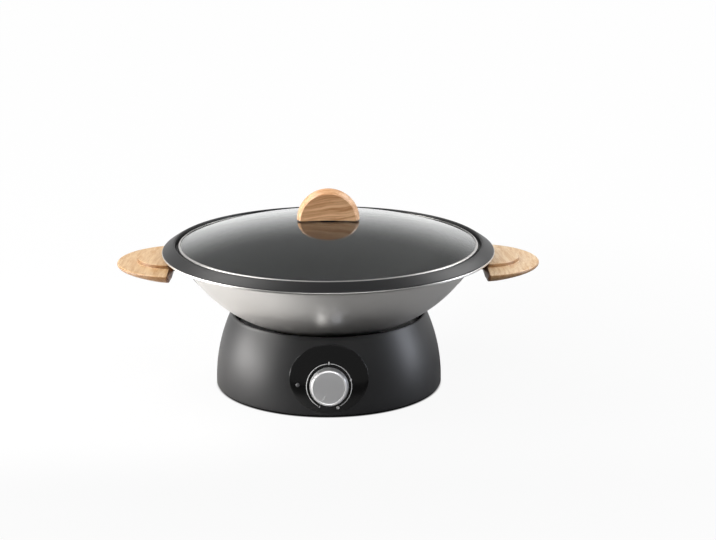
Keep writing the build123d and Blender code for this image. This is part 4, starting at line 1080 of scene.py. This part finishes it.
class WOK_OT_stage(bpy.types.Operator):
    """Floor, world, softboxes and camera"""

    bl_idname = "wok.stage"
    bl_label = "Stage"

    def execute(self, context):
        scene = context.scene
        steps = np.linspace(-6.0, 6.0, 13)
        x, y = np.meshgrid(steps, steps, indexing="ij")
        verts, quads = grid(np.stack([x, y, 0 * x], axis=-1), False, False)
        mesh = bpy.data.meshes.new("floor")
        mesh.from_pydata(verts.tolist(), [], quads.tolist())
        floor = bpy.data.objects.new("floor", mesh)
        scene.collection.objects.link(floor)
        mesh.materials.append(self.paper())
        self.world(scene)
        for name, (place, aim, size, share, color) in SOFTBOXES.items():
            softbox(name, place, aim, size, share * finish().key_power, color)

        camera = bpy.data.objects.new("camera", bpy.data.cameras.new("camera"))
        camera.data.lens = CAMERA_LENS
        camera.data.sensor_width = 36.0
        camera.location = CAMERA_PLACE
        camera.rotation_euler = (math.radians(90 - CAMERA_PITCH), 0, math.radians(-CAMERA_YAW))
        scene.collection.objects.link(camera)
        scene.camera = camera
        scene.view_settings.view_transform = "Standard"
        return {"FINISHED"}

    def paper(self):
        """Paper with painted light and shade: pale to the left and grey to the right, a painted
        falloff of the key light, and dark in front, a painted shadow of the bowl, which gives the
        steel above it a soft gradient. Under the housing the paper is painted near black as its
        shadow. The camera sees it nearly as white as the world, apart from a faint shadow and that
        painted dark gap below the housing, and so do reflections of the part far behind."""
        material, tree, shader = new_material("Paper with painted shading", Roughness=0.9)
        place = object_coords(tree)
        x, y, _ = parts_of(tree, place)
        # painted light: the paper is pale to the left and grey to the right, as the key light
        # would fall off
        leftward = maths(tree, "SUBTRACT", maths(tree, "MULTIPLY", y, 0.4), x)
        painted_falloff = ramp(tree, leftward, -0.12, 0.09, interpolation_type="SMOOTHSTEP")
        # painted shadow: the paper in front of the bowl is darker
        before = ramp(tree, y, -0.34, -0.17, 1.0, 0.0, interpolation_type="SMOOTHSTEP")
        reach = from_axis(tree, place)
        base_r = sizes().base_radius
        outside = ramp(tree, reach, base_r - 2.0 * MM, base_r + 1.0 * MM)
        color = blend(tree, painted_falloff, hex_color("#a0a0a0"), hex_color("#f0f0f0"))
        color = blend(tree, before, color, hex_color("#3c3c3c"))
        # painted shadow: the paper under the housing is near black
        color = blend(tree, outside, hex_color("#181818"), color)
        tree.links.new(color, shader.inputs["Base Color"])
        link_bump(tree, shader, noise(tree, place, 4, 2.0), 0.05, 0.2)

        away = ramp(tree, reach, 0.15, 0.8, 0.93, 0.99)
        far = ramp(tree, y, 0.3, 0.9, 0.0, 0.95)
        path = add(tree, "LightPath").outputs
        seen = maths(tree, "MAXIMUM", path["Is Camera Ray"], path["Is Transmission Ray"])
        direct = maths(tree, "MULTIPLY", seen, maths(tree, "MULTIPLY", away, outside))
        mirrored = maths(tree, "MULTIPLY", path["Is Glossy Ray"], far)
        share = maths(tree, "MAXIMUM", direct, mirrored)
        white = add(tree, "Emission", {"Color": (1, 1, 1, 1), "Strength": 1.0})
        both = add(tree, "MixShader", {0: share, 1: shader.outputs[0], 2: white.outputs[0]})
        tree.links.new(both.outputs[0], tree.nodes["Material Output"].inputs["Surface"])
        return material

    def world(self, scene):
        """White to the camera, a dim room to diffuse light. Reflections also see the white
        behind the object, which fades out to the sides and with height."""
        world = bpy.data.worlds.new("studio")
        scene.world = world
        world.use_nodes = True
        tree = world.node_tree
        tree.nodes.clear()
        _, back, height = parts_of(tree, add(tree, "TexCoord").outputs["Generated"])
        behind = ramp(tree, back, 0.0, 0.8, interpolation_type="SMOOTHSTEP")
        low = ramp(tree, height, 0.1, 0.5, 1.0, 0.0, interpolation_type="SMOOTHSTEP")
        shown = ramp(tree, maths(tree, "MULTIPLY", behind, low), 0.0, 1.0, 0.24, 0.9)
        path = add(tree, "LightPath").outputs
        room = maths(tree, "MULTIPLY_ADD", shown, path["Is Glossy Ray"], 0.05)
        bright = add(tree, "Mix", {"Factor": path["Is Camera Ray"], "A": room, "B": 1.0},
                     data_type="FLOAT")
        light = add(tree, "Background", {"Color": (1, 1, 1, 1), "Strength": bright.outputs[0]})
        out = add(tree, "OutputWorld")
        tree.links.new(light.outputs[0], out.inputs["Surface"])


class WOK_PT_panel(bpy.types.Panel):
    """Lists the builders and what they can be set to"""

    bl_idname = "WOK_PT_panel"
    bl_label = "Electric wok"
    bl_space_type = "VIEW_3D"
    bl_region_type = "UI"
    bl_category = "Wok"

    def draw(self, context):
        column = self.layout.column()
        for group in (context.scene.wok_sizes, context.scene.wok_finish):
            for key in group.__annotations__:
                column.prop(group, key)
        for operator in OPERATORS:
            column.operator(operator.bl_idname)


OPERATORS = (
    WOK_OT_stage, WOK_OT_housing, WOK_OT_feet, WOK_OT_heater, WOK_OT_control_panel, WOK_OT_knob,
    WOK_OT_bowl, WOK_OT_handles, WOK_OT_lid, WOK_OT_inner_parts,
)
CLASSES = (WokSizes, WokFinish, *OPERATORS, WOK_PT_panel)


def register():
    for made in CLASSES:
        bpy.utils.register_class(made)
    bpy.types.Scene.wok_sizes = PointerProperty(type=WokSizes)
    bpy.types.Scene.wok_finish = PointerProperty(type=WokFinish)


def unregister():
    del bpy.types.Scene.wok_finish
    del bpy.types.Scene.wok_sizes
    for made in reversed(CLASSES):
        bpy.utils.unregister_class(made)


def main():
    register()
    for operator in OPERATORS:
        group, name = operator.bl_idname.split(".")
        getattr(getattr(bpy.ops, group), name)()


if __name__ == "__main__":
    main()
